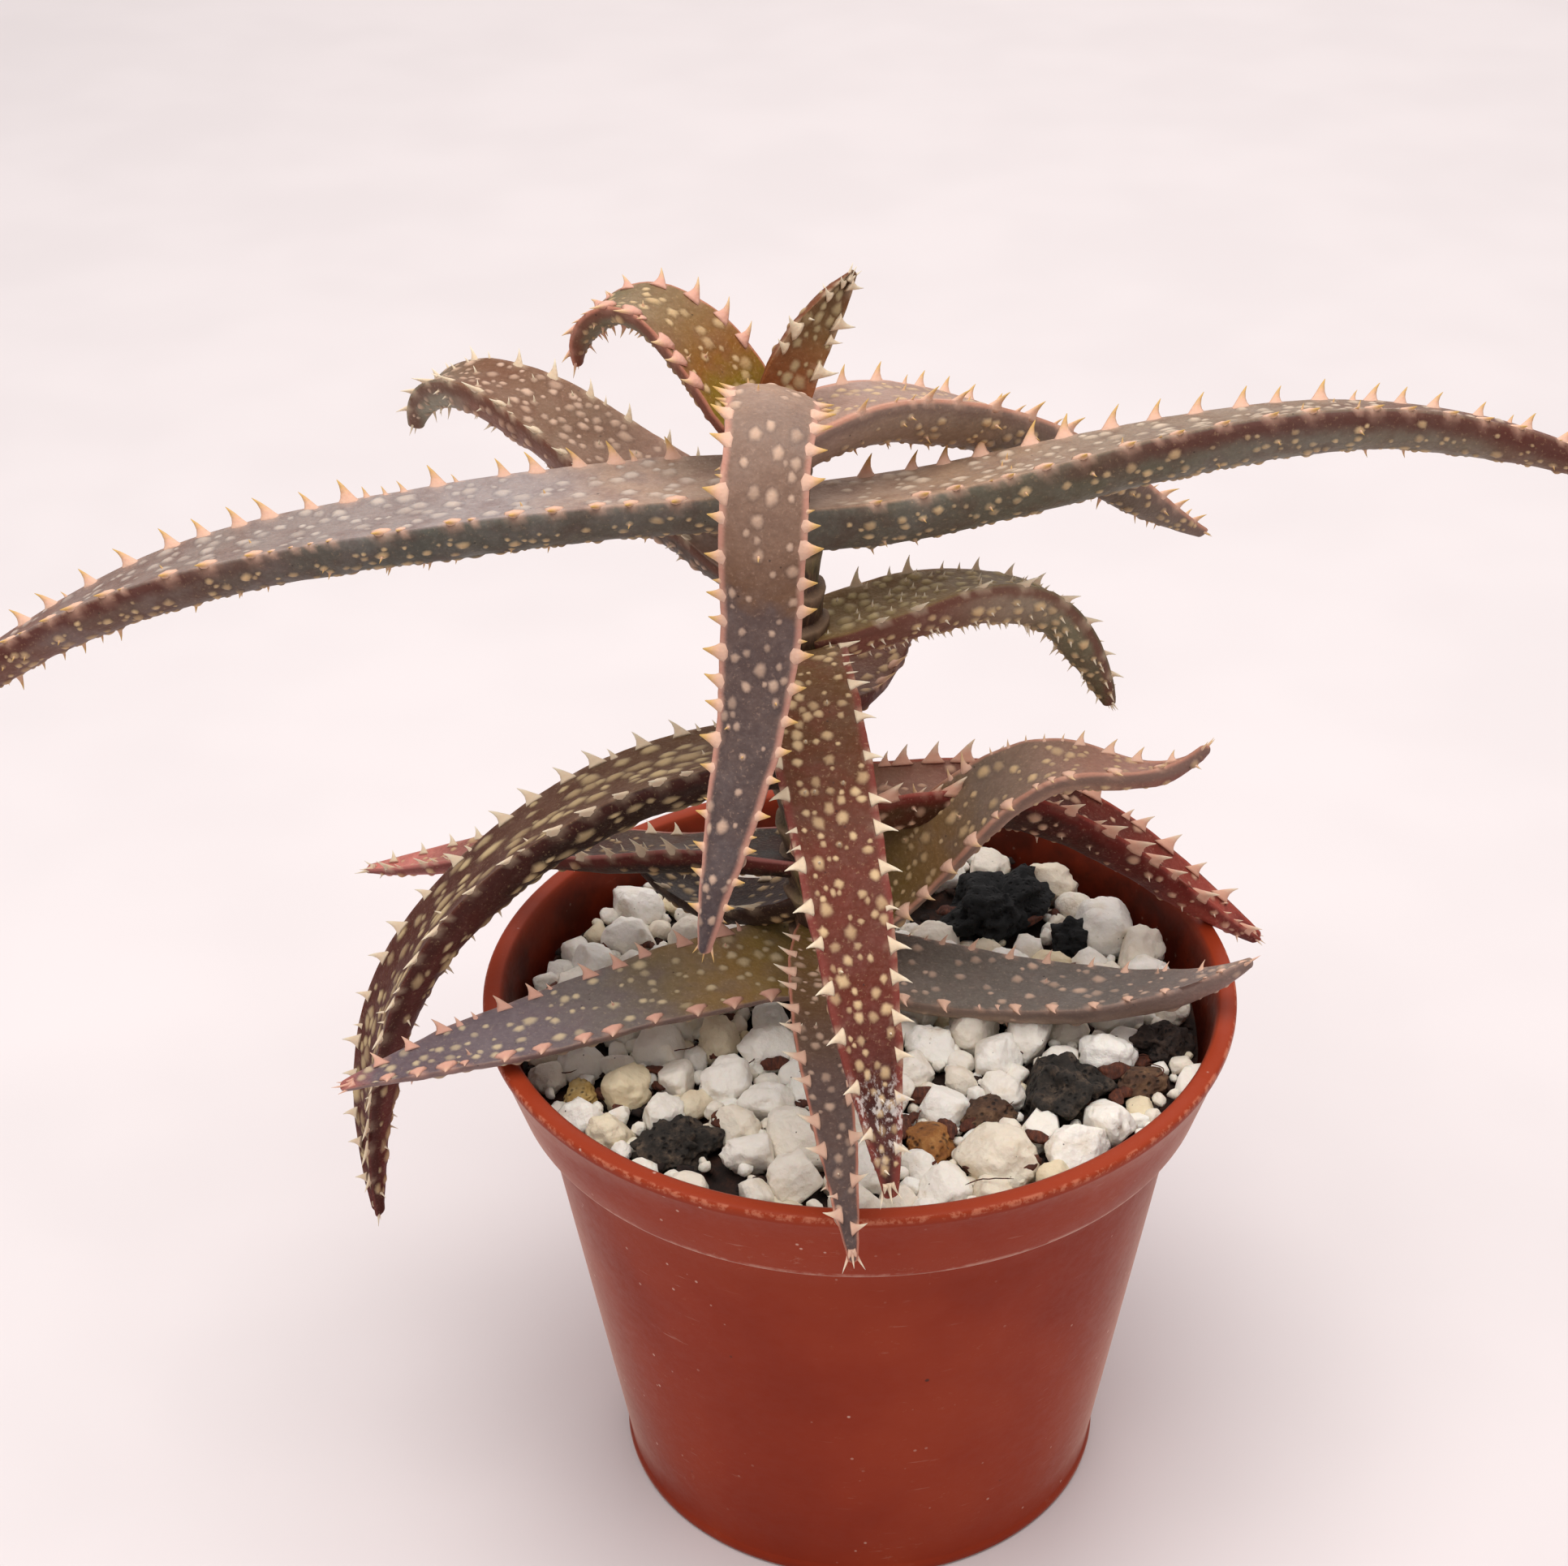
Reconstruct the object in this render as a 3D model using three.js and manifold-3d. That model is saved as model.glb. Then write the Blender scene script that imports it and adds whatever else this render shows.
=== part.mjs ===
// Potted succulent with arching, toothed and spotted leaves in a terracotta-coloured plastic pot.
// Millimetres, Z up, the pot's axis on Z and its base plane at z = 0. The camera side of the plant is -Y.
import * as THREE from 'three';
import { mergeVertices } from 'three/addons/utils/BufferGeometryUtils.js';
import Module from 'manifold-3d';

const wasm = await Module();
wasm.setup();

// Pot
const POT_HEIGHT = 65;
const RIM_RADIUS = 42.5;
const LIP_WIDTH = 1.9;
const COLLAR_BOTTOM_Z = 54.5;
const COLLAR_BOTTOM_RADIUS = 39.4;
const BODY_TOP_RADIUS = 36.9;
const FOOT_RADIUS = 28.3;
const WALL = 1.1;
const FLOOR_TOP = 2.2;
const RECESS = 0.8;
const DRAIN_HOLES = 6;
const DRAIN_RADIUS = 3;
const DRAIN_RING = 17;
const DRAIN_SIDES = 10;
const POT_SEGMENTS = 36;

// Fill
const GAP = 0.3;
const SOIL_TOP = 57;
const BED_THICKNESS = 1.3;
const BED_RADIUS = 38.2;
const BED_SEGMENTS = 32;
const GRAIN_COUNT = 54;
const GRAIN_RADIUS = [1.9, 3.6];
const GRAIN_RING = 35.6;
const GRAIN_LIMIT = 37.9;
const GRAIN_HEIGHT = 2.4;
const STONE_ROUGHNESS = 0.14;
const GRAIN_ROUGHNESS = 0.12;

// Stem: two ends of a leaning axis, the heights of the sheath rings that the leaf bases leave on it,
// and a blunt growing point that the youngest leaves stand round
const STEM_FOOT = new THREE.Vector3(-2, 2.5, 52);
const STEM_HEAD = new THREE.Vector3(-9.5, 3, 134);
const STEM_TOP_Z = 127;
const BUD_SHOULDER_Z = 130.5;
const BUD_SHOULDER_RADIUS = 3.6;
const BUD_TOP_Z = 133;
const BUD_TOP_RADIUS = 2;
const STEM_RADIUS = 3.5;
const SHEATH_RADIUS = 4.3;
const SHEATH_STEP = 0.5;
const SHEATHS = [61, 65.5, 70.5, 76, 80.5, 85, 89.5, 95.5, 100, 106, 110, 114, 118.5, 123];
const STEM_SIDES = 10;

// Leaves
const LEAF_START = 1.5;
const STATION_STEP = 6.5;
const TOOTHLESS_BASE = 9;
const LAST_TOOTH = 0.94;
const TOOTH_STEP = 5.6;
const TOOTH_HEIGHT = 1.7;
const TOOTH_HALF_BASE = 1.25;
const TOOTH_ROOT = 1.1;
const PRICKLE_STEP = 12;
const PRICKLE_HEIGHT = 0.7;
const TIP_TEETH = 3;
const CLEARANCE = 0.35;
const WEDGE_CLEARANCE = 1.1;

// Width and thickness along a leaf, as shares of its full width and thickness
const WIDTH_SHARE = [[0, 0.86], [0.08, 1], [0.3, 1], [0.6, 0.88], [0.8, 0.63], [0.92, 0.38], [1, 0.16]];
const THICK_SHARE = [[0, 1], [0.3, 1], [0.6, 0.87], [0.8, 0.7], [0.92, 0.47], [1, 0.24]];

// One row a leaf, youngest first. height is on the stem axis; heading is the compass angle from +X
// at the leaf's base and tip; rise is the slope above the horizontal and roll the turn about the
// leaf's own line, both at even steps from base to tip; channel is the depth of the trough along
// the upper face, below zero where it bulges.
const LEAVES = [
  { name: 'leaf_crown_left_curl', height: 133, length: 30, heading: [147, 174],
    rise: [59, 46, 25, -39, -95], roll: [-6, -9, -1, 7, 11],
    width: 9.8, thickness: 3.7, channel: 0.7, colour: 0x5e4a2c },
  { name: 'leaf_crown_spike', height: 131.8, length: 17.7, heading: [26, 43],
    rise: [88, 60, 46, 46], roll: [69, 94],
    width: 5.8, thickness: 3.2, channel: 0.5, colour: 0x54382a },
  { name: 'leaf_right_behind', height: 131.6, length: 62, heading: [33, 23],
    rise: [22, -14, -29, -41, -40], roll: [-2, -8, -14, -14, -8],
    width: 9.4, thickness: 5.8, channel: 0.5, colour: 0x7a6660 },
  { name: 'leaf_front_hanging', height: 130.2, length: 77, heading: [-81, -121],
    rise: [69, 9, -82, -55, -70], roll: [-9, -13],
    width: 9, thickness: 4.2, channel: -0.9, colour: 0x77625c },
  { name: 'leaf_long_left', height: 127, length: 107, heading: [188, 180],
    rise: [2, -5, -12, -31, -33], roll: [0, 4, 5, 12, 14],
    width: 11.4, thickness: 6, channel: 0.6, colour: 0x6e5a55 },
  { name: 'leaf_long_right', height: 124.2, length: 95, heading: [9, 0],
    rise: [0, 11, 7, -12, -34], roll: [-10, -12, -17, -19, -14],
    width: 11.2, thickness: 6, channel: 0.6, colour: 0x6a4a42 },
  { name: 'leaf_left_curl', height: 116, length: 55, heading: [147, 150],
    rise: [38, 16, 22, -4, -84], roll: [-14, -6, -7, 0, 0],
    width: 10.6, thickness: 6.8, channel: 0.6, colour: 0x654840 },
  { name: 'leaf_right_curl', height: 109.2, length: 45, heading: [14, 12],
    rise: [12, 11, -12, -59, -78], roll: [6, 1, -17, -14, -18],
    width: 8.4, thickness: 5.5, channel: 0.5, colour: 0x66533a },
  { name: 'leaf_front_red', height: 106.5, length: 71, heading: [-84, -75],
    rise: [41, -12, -28, -47, -66], roll: [6, -10],
    width: 10, thickness: 4.4, channel: 0.4, colour: 0x6e3a33 },
  { name: 'leaf_back_rising', height: 100, length: 24, heading: [56, 64],
    rise: [-10, -15, 10, 10, -2], roll: [0, 0],
    width: 8, thickness: 3.8, channel: 0.5, colour: 0x4d2a2a },
  { name: 'leaf_left_arch', height: 95.6, length: 87, heading: [194, 201],
    rise: [6, -20, -46, -78, -97], roll: [5, 6, 8, -5, -3],
    width: 10.2, thickness: 5.9, channel: 0.8, colour: 0x4b3028 },
  { name: 'leaf_right_channelled', height: 89, length: 60, heading: [20, -4],
    rise: [-4, -7, -31, -43, -44], roll: [-2, -7, -3, 0, 1],
    width: 9, thickness: 6.5, channel: 1.8, colour: 0x5c2d2a },
  { name: 'leaf_left_pink_tip', height: 81, length: 57, heading: [165, 159],
    rise: [-1, -12, -9, -23, -22], roll: [0, 17, 2, 3, 0],
    width: 8.2, thickness: 3.8, channel: 0.6, colour: 0x5a4744 },
  { name: 'leaf_left_inner', height: 76, length: 25, heading: [152, 150],
    rise: [-30, -26, -10, 10, 16], roll: [0, 0],
    width: 8, thickness: 3.8, channel: 0.5, colour: 0x4e3f42 },
  { name: 'leaf_right_olive', height: 71, length: 50, heading: [-9, -2],
    rise: [52, 50, 49, 29, -9, 43], roll: [20, 44, 31, 12, -9, -34],
    width: 9.8, thickness: 4.6, channel: 0.6, colour: 0x66583d },
  { name: 'leaf_front_low', height: 71.6, length: 56, heading: [-94, -78],
    rise: [19, 13, 2, -23, -55], roll: [-10, 4],
    width: 6.3, thickness: 3.9, channel: 0.4, colour: 0x6a5a50 },
  { name: 'leaf_rim_left', height: 67, length: 56, heading: [210, 198],
    rise: [16, 3, -4, -5, -14], roll: [-19, -10, -4, -2, 5],
    width: 11.3, thickness: 3.3, channel: 0.4, colour: 0x69605a },
  { name: 'leaf_rim_right', height: 67.3, length: 46.5, heading: [-14, -9],
    rise: [-10, -2, 4, 14, 31], roll: [14, 12, 4, -7, -22],
    width: 9.7, thickness: 4.8, channel: 0.4, colour: 0x66625f },
];

// Loose stones that lie among the white grains: place, radii and colour
const STONES = [
  { name: 'lava_black_back', at: [16.5, 21, 60], radii: [6.2, 4.8, 3.2], colour: 0x1d1f22 },
  { name: 'lava_black_left', at: [-11, 22, 59.4], radii: [3, 2.6, 2], colour: 0x202020 },
  { name: 'lava_black_small', at: [25.5, 15.2, 59.3], radii: [3, 2.2, 1.8], colour: 0x232527 },
  { name: 'lava_grey_right', at: [22.2, -14.8, 60], radii: [4.6, 4.2, 3], colour: 0x34373b },
  { name: 'lava_brown_right', at: [34.1, -5.4, 59.3], radii: [3.2, 2.6, 1.9], colour: 0x3a2e28 },
  { name: 'stone_brown_right', at: [31.3, -12.4, 59.2], radii: [2.8, 2, 1.7], colour: 0x6e4a33 },
  { name: 'stone_brown_front', at: [14.1, -18.3, 59.2], radii: [2.7, 2.2, 1.7], colour: 0x5f4534 },
  { name: 'stone_ochre', at: [7.6, -23, 59.3], radii: [2.9, 2.2, 1.8], colour: 0x8a5a2c },
  { name: 'lava_dark_left', at: [-20, -23.8, 59.4], radii: [3.6, 2.9, 2], colour: 0x33302f },
  { name: 'stone_yellow_left', at: [-30.7, -14.8, 59], radii: [1.9, 1.6, 1.5], colour: 0xb49a62 },
];

// Seeded random numbers between 0 and 1
function seeded(seed) {
  let state = seed >>> 0;
  return () => {
    state = (Math.imul(state, 1664525) + 1013904223) >>> 0;
    return state / 4294967296;
  };
}

function between(random, low, high) {
  return low + (high - low) * random();
}

// Straight-line reading of a table of [place, value] rows
function share(table, s) {
  for (let i = 1; i < table.length; i += 1) {
    const [s0, v0] = table[i - 1];
    const [s1, v1] = table[i];
    if (s <= s1) {
      return v0 + (v1 - v0) * (s - s0) / (s1 - s0);
    }
  }
  return table[table.length - 1][1];
}

// Smooth reading of evenly spaced values, s from 0 to 1
function smooth(values, s) {
  const spans = values.length - 1;
  const k = Math.min(Math.floor(s * spans), spans - 1);
  const f = s * spans - k;
  const p1 = values[k];
  const p2 = values[k + 1];
  const p0 = k > 0 ? values[k - 1] : 2 * p1 - p2;
  const p3 = k + 2 <= spans ? values[k + 2] : 2 * p2 - p1;
  const linear = -p0 + p2;
  const square = 2 * p0 - 5 * p1 + 4 * p2 - p3;
  const cube = -p0 + 3 * p1 - 3 * p2 + p3;
  return 0.5 * (2 * p1 + linear * f + square * f * f + cube * f * f * f);
}

// Closed body from points and outward triangles
function body(points, triangles) {
  const vertProperties = new Float32Array(points.length * 3);
  points.forEach((p, i) => p.toArray(vertProperties, i * 3));
  const triVerts = new Uint32Array(triangles.flat());
  return new wasm.Manifold(new wasm.Mesh({ numProp: 3, vertProperties, triVerts }));
}

function bodyOf(geometry) {
  const bare = new THREE.BufferGeometry();
  bare.setAttribute('position', geometry.getAttribute('position'));
  bare.setIndex(geometry.getIndex());
  const merged = mergeVertices(bare, 0.0001);
  const place = merged.getAttribute('position');
  const index = merged.getIndex().array;
  const points = [];
  for (let i = 0; i < place.count; i += 1) {
    points.push(new THREE.Vector3().fromBufferAttribute(place, i));
  }
  const triangles = [];
  for (let i = 0; i < index.length; i += 3) {
    const [a, b, c] = [index[i], index[i + 1], index[i + 2]];
    if (a !== b && b !== c && c !== a) {
      triangles.push([a, b, c]);
    }
  }
  return body(points, triangles);
}

function meshOf(name, solid, material) {
  const mesh = solid.getMesh();
  const geometry = new THREE.BufferGeometry();
  geometry.setAttribute('position', new THREE.BufferAttribute(new Float32Array(mesh.vertProperties), 3));
  geometry.setIndex(new THREE.BufferAttribute(new Uint32Array(mesh.triVerts), 1));
  geometry.computeVertexNormals();
  const result = new THREE.Mesh(geometry, material);
  result.name = name;
  return result;
}

function paint(colour, roughness) {
  return new THREE.MeshStandardMaterial({ color: colour, roughness, metalness: 0 });
}

// Lathe profile given as [radius, height] rows, turned about the pot's axis
function turned(rows, segments) {
  const profile = rows.map(([r, z]) => new THREE.Vector2(r, z));
  const geometry = new THREE.LatheGeometry(profile, segments);
  geometry.rotateX(Math.PI / 2);
  return bodyOf(geometry);
}

// Skin over rings that share one point count, closed by a fan at each end
function skinned(rings) {
  const count = rings[0].length;
  const points = rings.flat();
  const triangles = [];
  for (let i = 0; i + 1 < rings.length; i += 1) {
    for (let j = 0; j < count; j += 1) {
      const a = i * count + j;
      const b = i * count + (j + 1) % count;
      triangles.push([a, b, b + count], [a, b + count, a + count]);
    }
  }
  const last = (rings.length - 1) * count;
  for (let j = 1; j + 1 < count; j += 1) {
    triangles.push([0, j + 1, j], [last, last + j, last + j + 1]);
  }
  return body(points, triangles);
}

// Four-cornered wedge [base, base, base, apex] with its corners put in outward order
function wedge(corners) {
  const [a, b, c, apex] = corners;
  const normal = b.clone().sub(a).cross(c.clone().sub(a));
  const outward = normal.dot(apex.clone().sub(a)) < 0;
  const [p, q, r] = outward ? [0, 1, 2] : [0, 2, 1];
  return body(corners, [[p, q, r], [q, p, 3], [r, q, 3], [p, r, 3]]);
}

// The same wedge with its corners pushed out, for cutting neighbours clear of it
function swollen(corners) {
  const centre = new THREE.Vector3();
  corners.forEach((corner) => centre.addScaledVector(corner, 0.25));
  return wedge(corners.map((corner) => {
    const out = corner.clone().sub(centre).normalize();
    return corner.clone().addScaledVector(out, WEDGE_CLEARANCE);
  }));
}

// Leaning stem axis at a height
function stemPoint(z) {
  const t = (z - STEM_FOOT.z) / (STEM_HEAD.z - STEM_FOOT.z);
  return STEM_FOOT.clone().lerp(STEM_HEAD, t);
}

// Frames along a leaf: place, tangent, side and up directions, half width and thickness
function leafFrames(leaf) {
  const spans = Math.max(8, Math.round(leaf.length / STATION_STEP));
  const finer = 8;
  const step = leaf.length / (spans * finer);
  const start = THREE.MathUtils.degToRad(leaf.heading[0]);
  const place = stemPoint(leaf.height);
  place.add(new THREE.Vector3(Math.cos(start), Math.sin(start), 0).multiplyScalar(LEAF_START));
  const frames = [];
  for (let i = 0; i <= spans * finer; i += 1) {
    const s = i / (spans * finer);
    const heading = THREE.MathUtils.degToRad(smooth(leaf.heading, s));
    const rise = THREE.MathUtils.degToRad(smooth(leaf.rise, s));
    const flat = Math.cos(rise);
    const tangent = new THREE.Vector3(flat * Math.cos(heading), flat * Math.sin(heading), Math.sin(rise));
    const roll = THREE.MathUtils.degToRad(smooth(leaf.roll, s));
    const side = new THREE.Vector3(-Math.sin(heading), Math.cos(heading), 0).applyAxisAngle(tangent, roll);
    const up = tangent.clone().cross(side);
    if (i % finer === 0) {
      frames.push({
        s,
        place: place.clone(),
        tangent,
        side,
        up,
        half: leaf.width / 2 * share(WIDTH_SHARE, s),
        thick: leaf.thickness * share(THICK_SHARE, s),
      });
    }
    place.addScaledVector(tangent, step);
  }
  return frames;
}

// Section corners given as [across, above] put in place at a frame
function ringAt(frame, corners) {
  return corners.map(([x, y]) => frame.place.clone()
    .addScaledVector(frame.side, x)
    .addScaledVector(frame.up, y));
}

// Eight-sided section: flat or troughed above, rounded below, margins at the sides
function leafRing(frame, channel) {
  const w = frame.half;
  const t = frame.thick;
  const c = Math.min(channel, 0.3 * t);
  return ringAt(frame, [
    [w, -0.04 * t], [0.5 * w, -0.8 * c], [0, -c], [-0.5 * w, -0.8 * c],
    [-w, -0.04 * t], [-0.8 * w, -0.55 * t], [0, -t], [0.8 * w, -0.55 * t],
  ]);
}

// Plainer section that stands off the leaf by a gap all round
function clearanceRing(frame, channel) {
  const g = CLEARANCE;
  const w = frame.half + g;
  const t = frame.thick;
  return ringAt(frame, [
    [w, g], [0, g + Math.max(0, -1.1 * channel)], [-w, g], [-w, -g], [-0.8 * w - 0.3 * g, -0.55 * t - g],
    [0, -t - 1.2 * g], [0.8 * w + 0.3 * g, -0.55 * t - g], [w, -g],
  ]);
}

// Point on the leaf between two frames
function leafAt(frames, s) {
  const k = Math.min(Math.floor(s * (frames.length - 1)), frames.length - 2);
  const f = s * (frames.length - 1) - k;
  const a = frames[k];
  const b = frames[k + 1];
  return {
    place: a.place.clone().lerp(b.place, f),
    tangent: a.tangent.clone().lerp(b.tangent, f).normalize(),
    side: a.side.clone().lerp(b.side, f).normalize(),
    up: a.up.clone().lerp(b.up, f).normalize(),
    half: a.half + (b.half - a.half) * f,
    thick: a.thick + (b.thick - a.thick) * f,
  };
}

// Broad-based tooth on one margin, leaning toward the tip
function marginTooth(at, hand, size, lean) {
  const edge = at.place.clone().addScaledVector(at.side, hand * at.half);
  const root = edge.clone().addScaledVector(at.side, -hand * Math.min(TOOTH_ROOT, 0.85 * at.half));
  const base = TOOTH_HALF_BASE * size;
  const high = root.clone().addScaledVector(at.up, -0.12 * at.thick);
  const low = root.clone().addScaledVector(at.up, -0.42 * at.thick);
  const apex = edge.clone()
    .addScaledVector(at.side, hand * TOOTH_HEIGHT * size)
    .addScaledVector(at.tangent, lean)
    .addScaledVector(at.up, 0.25);
  const fore = high.clone().addScaledVector(at.tangent, base);
  const aft = high.clone().addScaledVector(at.tangent, -base);
  return [fore, aft, low, apex];
}

// Small prickle on the rounded underside
function prickle(at, across, size) {
  const out = at.up.clone().multiplyScalar(-1).addScaledVector(at.side, across * 0.9).normalize();
  const skin = at.place.clone()
    .addScaledVector(at.side, across * 0.8 * at.half)
    .addScaledVector(at.up, -at.thick * (0.98 - 0.42 * Math.abs(across)));
  const root = skin.clone().addScaledVector(out, -0.7);
  const turn = at.tangent.clone().cross(out).normalize();
  const a = root.clone().addScaledVector(at.tangent, 0.75);
  const b = root.clone().addScaledVector(at.tangent, -0.4).addScaledVector(turn, 0.65);
  const c = root.clone().addScaledVector(at.tangent, -0.4).addScaledVector(turn, -0.65);
  const apex = skin.clone().addScaledVector(out, PRICKLE_HEIGHT * size).addScaledVector(at.tangent, 0.3);
  return [a, b, c, apex];
}

// Whole leaf with its teeth, prickles and blunt toothed tip
function buildLeaf(leaf, seed) {
  const random = seeded(seed);
  const frames = leafFrames(leaf);
  const points = [];
  const first = TOOTHLESS_BASE / leaf.length;
  const teeth = Math.floor(leaf.length * (LAST_TOOTH - first) / TOOTH_STEP);
  for (const hand of [-1, 1]) {
    for (let i = 0; i < teeth; i += 1) {
      const shift = between(random, -0.25, 0.25) + (hand > 0 ? 0.4 : 0);
      const s = first + (LAST_TOOTH - first) * (i + 0.5 + shift) / teeth;
      const at = leafAt(frames, Math.min(s, LAST_TOOTH));
      const size = between(random, 0.85, 1.15) * (0.62 + 0.38 * share(WIDTH_SHARE, s));
      points.push(marginTooth(at, hand, size, between(random, 0.3, 1)));
    }
  }
  const prickles = Math.floor(leaf.length / PRICKLE_STEP);
  for (let i = 0; i < prickles; i += 1) {
    const s = first + (0.9 - first) * (i + between(random, 0.2, 0.8)) / prickles;
    const at = leafAt(frames, s);
    points.push(prickle(at, between(random, -0.8, 0.8), between(random, 0.7, 1.1)));
  }
  const end = frames[frames.length - 1];
  const root = end.place.clone()
    .addScaledVector(end.tangent, -1)
    .addScaledVector(end.up, -0.5 * end.thick);
  const fromRoot = (along, across, above) => root.clone()
    .addScaledVector(end.tangent, along)
    .addScaledVector(end.side, across)
    .addScaledVector(end.up, above);
  for (let i = 0; i < TIP_TEETH; i += 1) {
    const fan = (i / (TIP_TEETH - 1) - 0.5) * 2;
    points.push([
      fromRoot(0, (fan * 0.2 + 0.45) * end.half, -0.15 * end.thick),
      fromRoot(0, (fan * 0.2 - 0.45) * end.half, -0.15 * end.thick),
      fromRoot(0, 0, 0.35 * end.thick),
      fromRoot(2.3 - 0.4 * Math.abs(fan), fan * 1.2, 0),
    ]);
  }
  let solid = skinned(frames.map((frame) => leafRing(frame, leaf.channel)));
  const behind = frames[0].place.clone().addScaledVector(frames[0].tangent, -CLEARANCE);
  const spread = [{ ...frames[0], place: behind }, ...frames.slice(1)];
  let clearance = skinned(spread.map((frame) => clearanceRing(frame, leaf.channel)));
  points.forEach((corners) => {
    solid = solid.add(wedge(corners));
    clearance = clearance.add(swollen(corners));
  });
  return { name: leaf.name, solid, clearance, colour: leaf.colour };
}

// Leaning stem, stacked from sheaths that flare upward and then step in, with the growing point on top
function stemBody(grow, bottom) {
  const rows = [[bottom, STEM_RADIUS]];
  SHEATHS.forEach((z) => {
    rows.push([z - SHEATH_STEP, SHEATH_RADIUS], [z + SHEATH_STEP, STEM_RADIUS]);
  });
  rows.push([STEM_TOP_Z, SHEATH_RADIUS], [BUD_SHOULDER_Z, BUD_SHOULDER_RADIUS]);
  rows.push([BUD_TOP_Z + grow, BUD_TOP_RADIUS]);
  return skinned(rows.map(([z, radius]) => {
    const centre = stemPoint(z);
    const ring = [];
    for (let j = 0; j < STEM_SIDES; j += 1) {
      const angle = j / STEM_SIDES * 2 * Math.PI;
      const out = new THREE.Vector3(Math.cos(angle), Math.sin(angle), 0);
      ring.push(centre.clone().addScaledVector(out, radius + grow));
    }
    return ring;
  }));
}

// Rough stone: a jittered twenty-faced ball, or its finer form with eighty faces
function lump(centre, radii, random, detail, rough) {
  const ball = new THREE.IcosahedronGeometry(1, detail);
  const geometry = mergeVertices(ball.deleteAttribute('normal').deleteAttribute('uv'));
  const place = geometry.getAttribute('position');
  const turn = random() * Math.PI;
  for (let i = 0; i < place.count; i += 1) {
    const p = new THREE.Vector3().fromBufferAttribute(place, i);
    p.multiplyScalar(between(random, 1 - rough, 1 + rough * 0.6));
    p.applyAxisAngle(new THREE.Vector3(0, 0, 1), turn);
    place.setXYZ(i, centre[0] + p.x * radii[0], centre[1] + p.y * radii[1], centre[2] + p.z * radii[2]);
  }
  return bodyOf(geometry);
}

const model = new THREE.Group();
model.name = 'potted_succulent';

// Pot: foot ring, recessed floor, tapered wall, step out to the collar, flat lip
const lipInner = RIM_RADIUS - LIP_WIDTH;
const innerCollar = COLLAR_BOTTOM_RADIUS - WALL;
let pot = turned([
  [0, 0], [9, 0], [10, RECESS], [24, RECESS], [25, 0], [FOOT_RADIUS - 0.4, 0],
  [FOOT_RADIUS + 0.3, 0.5], [FOOT_RADIUS + 0.3, 1.2], [FOOT_RADIUS, 1.6],
  [BODY_TOP_RADIUS, COLLAR_BOTTOM_Z - 0.6], [COLLAR_BOTTOM_RADIUS - 0.5, COLLAR_BOTTOM_Z],
  [COLLAR_BOTTOM_RADIUS, COLLAR_BOTTOM_Z + 0.5], [RIM_RADIUS - 0.4, POT_HEIGHT - 1.6],
  [RIM_RADIUS, POT_HEIGHT - 1], [RIM_RADIUS, POT_HEIGHT - 0.3], [RIM_RADIUS - 0.3, POT_HEIGHT],
  [lipInner, POT_HEIGHT], [lipInner - 0.35, POT_HEIGHT - 0.5],
  [innerCollar, COLLAR_BOTTOM_Z + 0.2], [BODY_TOP_RADIUS - WALL, COLLAR_BOTTOM_Z - 1.4],
  [FOOT_RADIUS - WALL, FLOOR_TOP], [0, FLOOR_TOP],
], POT_SEGMENTS);
for (let i = 0; i < DRAIN_HOLES; i += 1) {
  const angle = (i + 0.5) / DRAIN_HOLES * 2 * Math.PI;
  const hole = new THREE.CylinderGeometry(DRAIN_RADIUS, DRAIN_RADIUS, 6, DRAIN_SIDES);
  hole.rotateX(Math.PI / 2);
  hole.translate(DRAIN_RING * Math.cos(angle), DRAIN_RING * Math.sin(angle), 1);
  pot = pot.subtract(bodyOf(hole));
}
model.add(meshOf('pot', pot, paint(0x9c4632, 0.6)));

// Potting mix with the plain hole that the stem stands in
const stemHole = stemBody(GAP + 0.1, STEM_FOOT.z - GAP);
const mix = turned([
  [0, FLOOR_TOP + GAP], [FOOT_RADIUS - WALL - 0.5, FLOOR_TOP + GAP],
  [BODY_TOP_RADIUS - WALL - 0.5, COLLAR_BOTTOM_Z - 1.2], [innerCollar - 0.5, COLLAR_BOTTOM_Z + 0.6],
  [innerCollar, SOIL_TOP], [0, SOIL_TOP],
], POT_SEGMENTS).subtract(stemHole);
model.add(meshOf('potting_mix', mix, paint(0x3a2a22, 0.9)));

// Loose stones, then the white grains that lie round them
const stoneClearances = [];
STONES.forEach((stone, i) => {
  const grown = stone.radii.map((r) => r + GAP + 0.1);
  const floorZ = SOIL_TOP + GAP;
  const lid = new THREE.BoxGeometry(40, 40, 20);
  lid.translate(stone.at[0], stone.at[1], floorZ - 10);
  const solid = lump(stone.at, stone.radii, seeded(900 + i), 1, STONE_ROUGHNESS).subtract(bodyOf(lid));
  stoneClearances.push(lump(stone.at, grown, seeded(900 + i), 1, STONE_ROUGHNESS));
  model.add(meshOf(stone.name, solid, paint(stone.colour, 0.9)));
});

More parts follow.
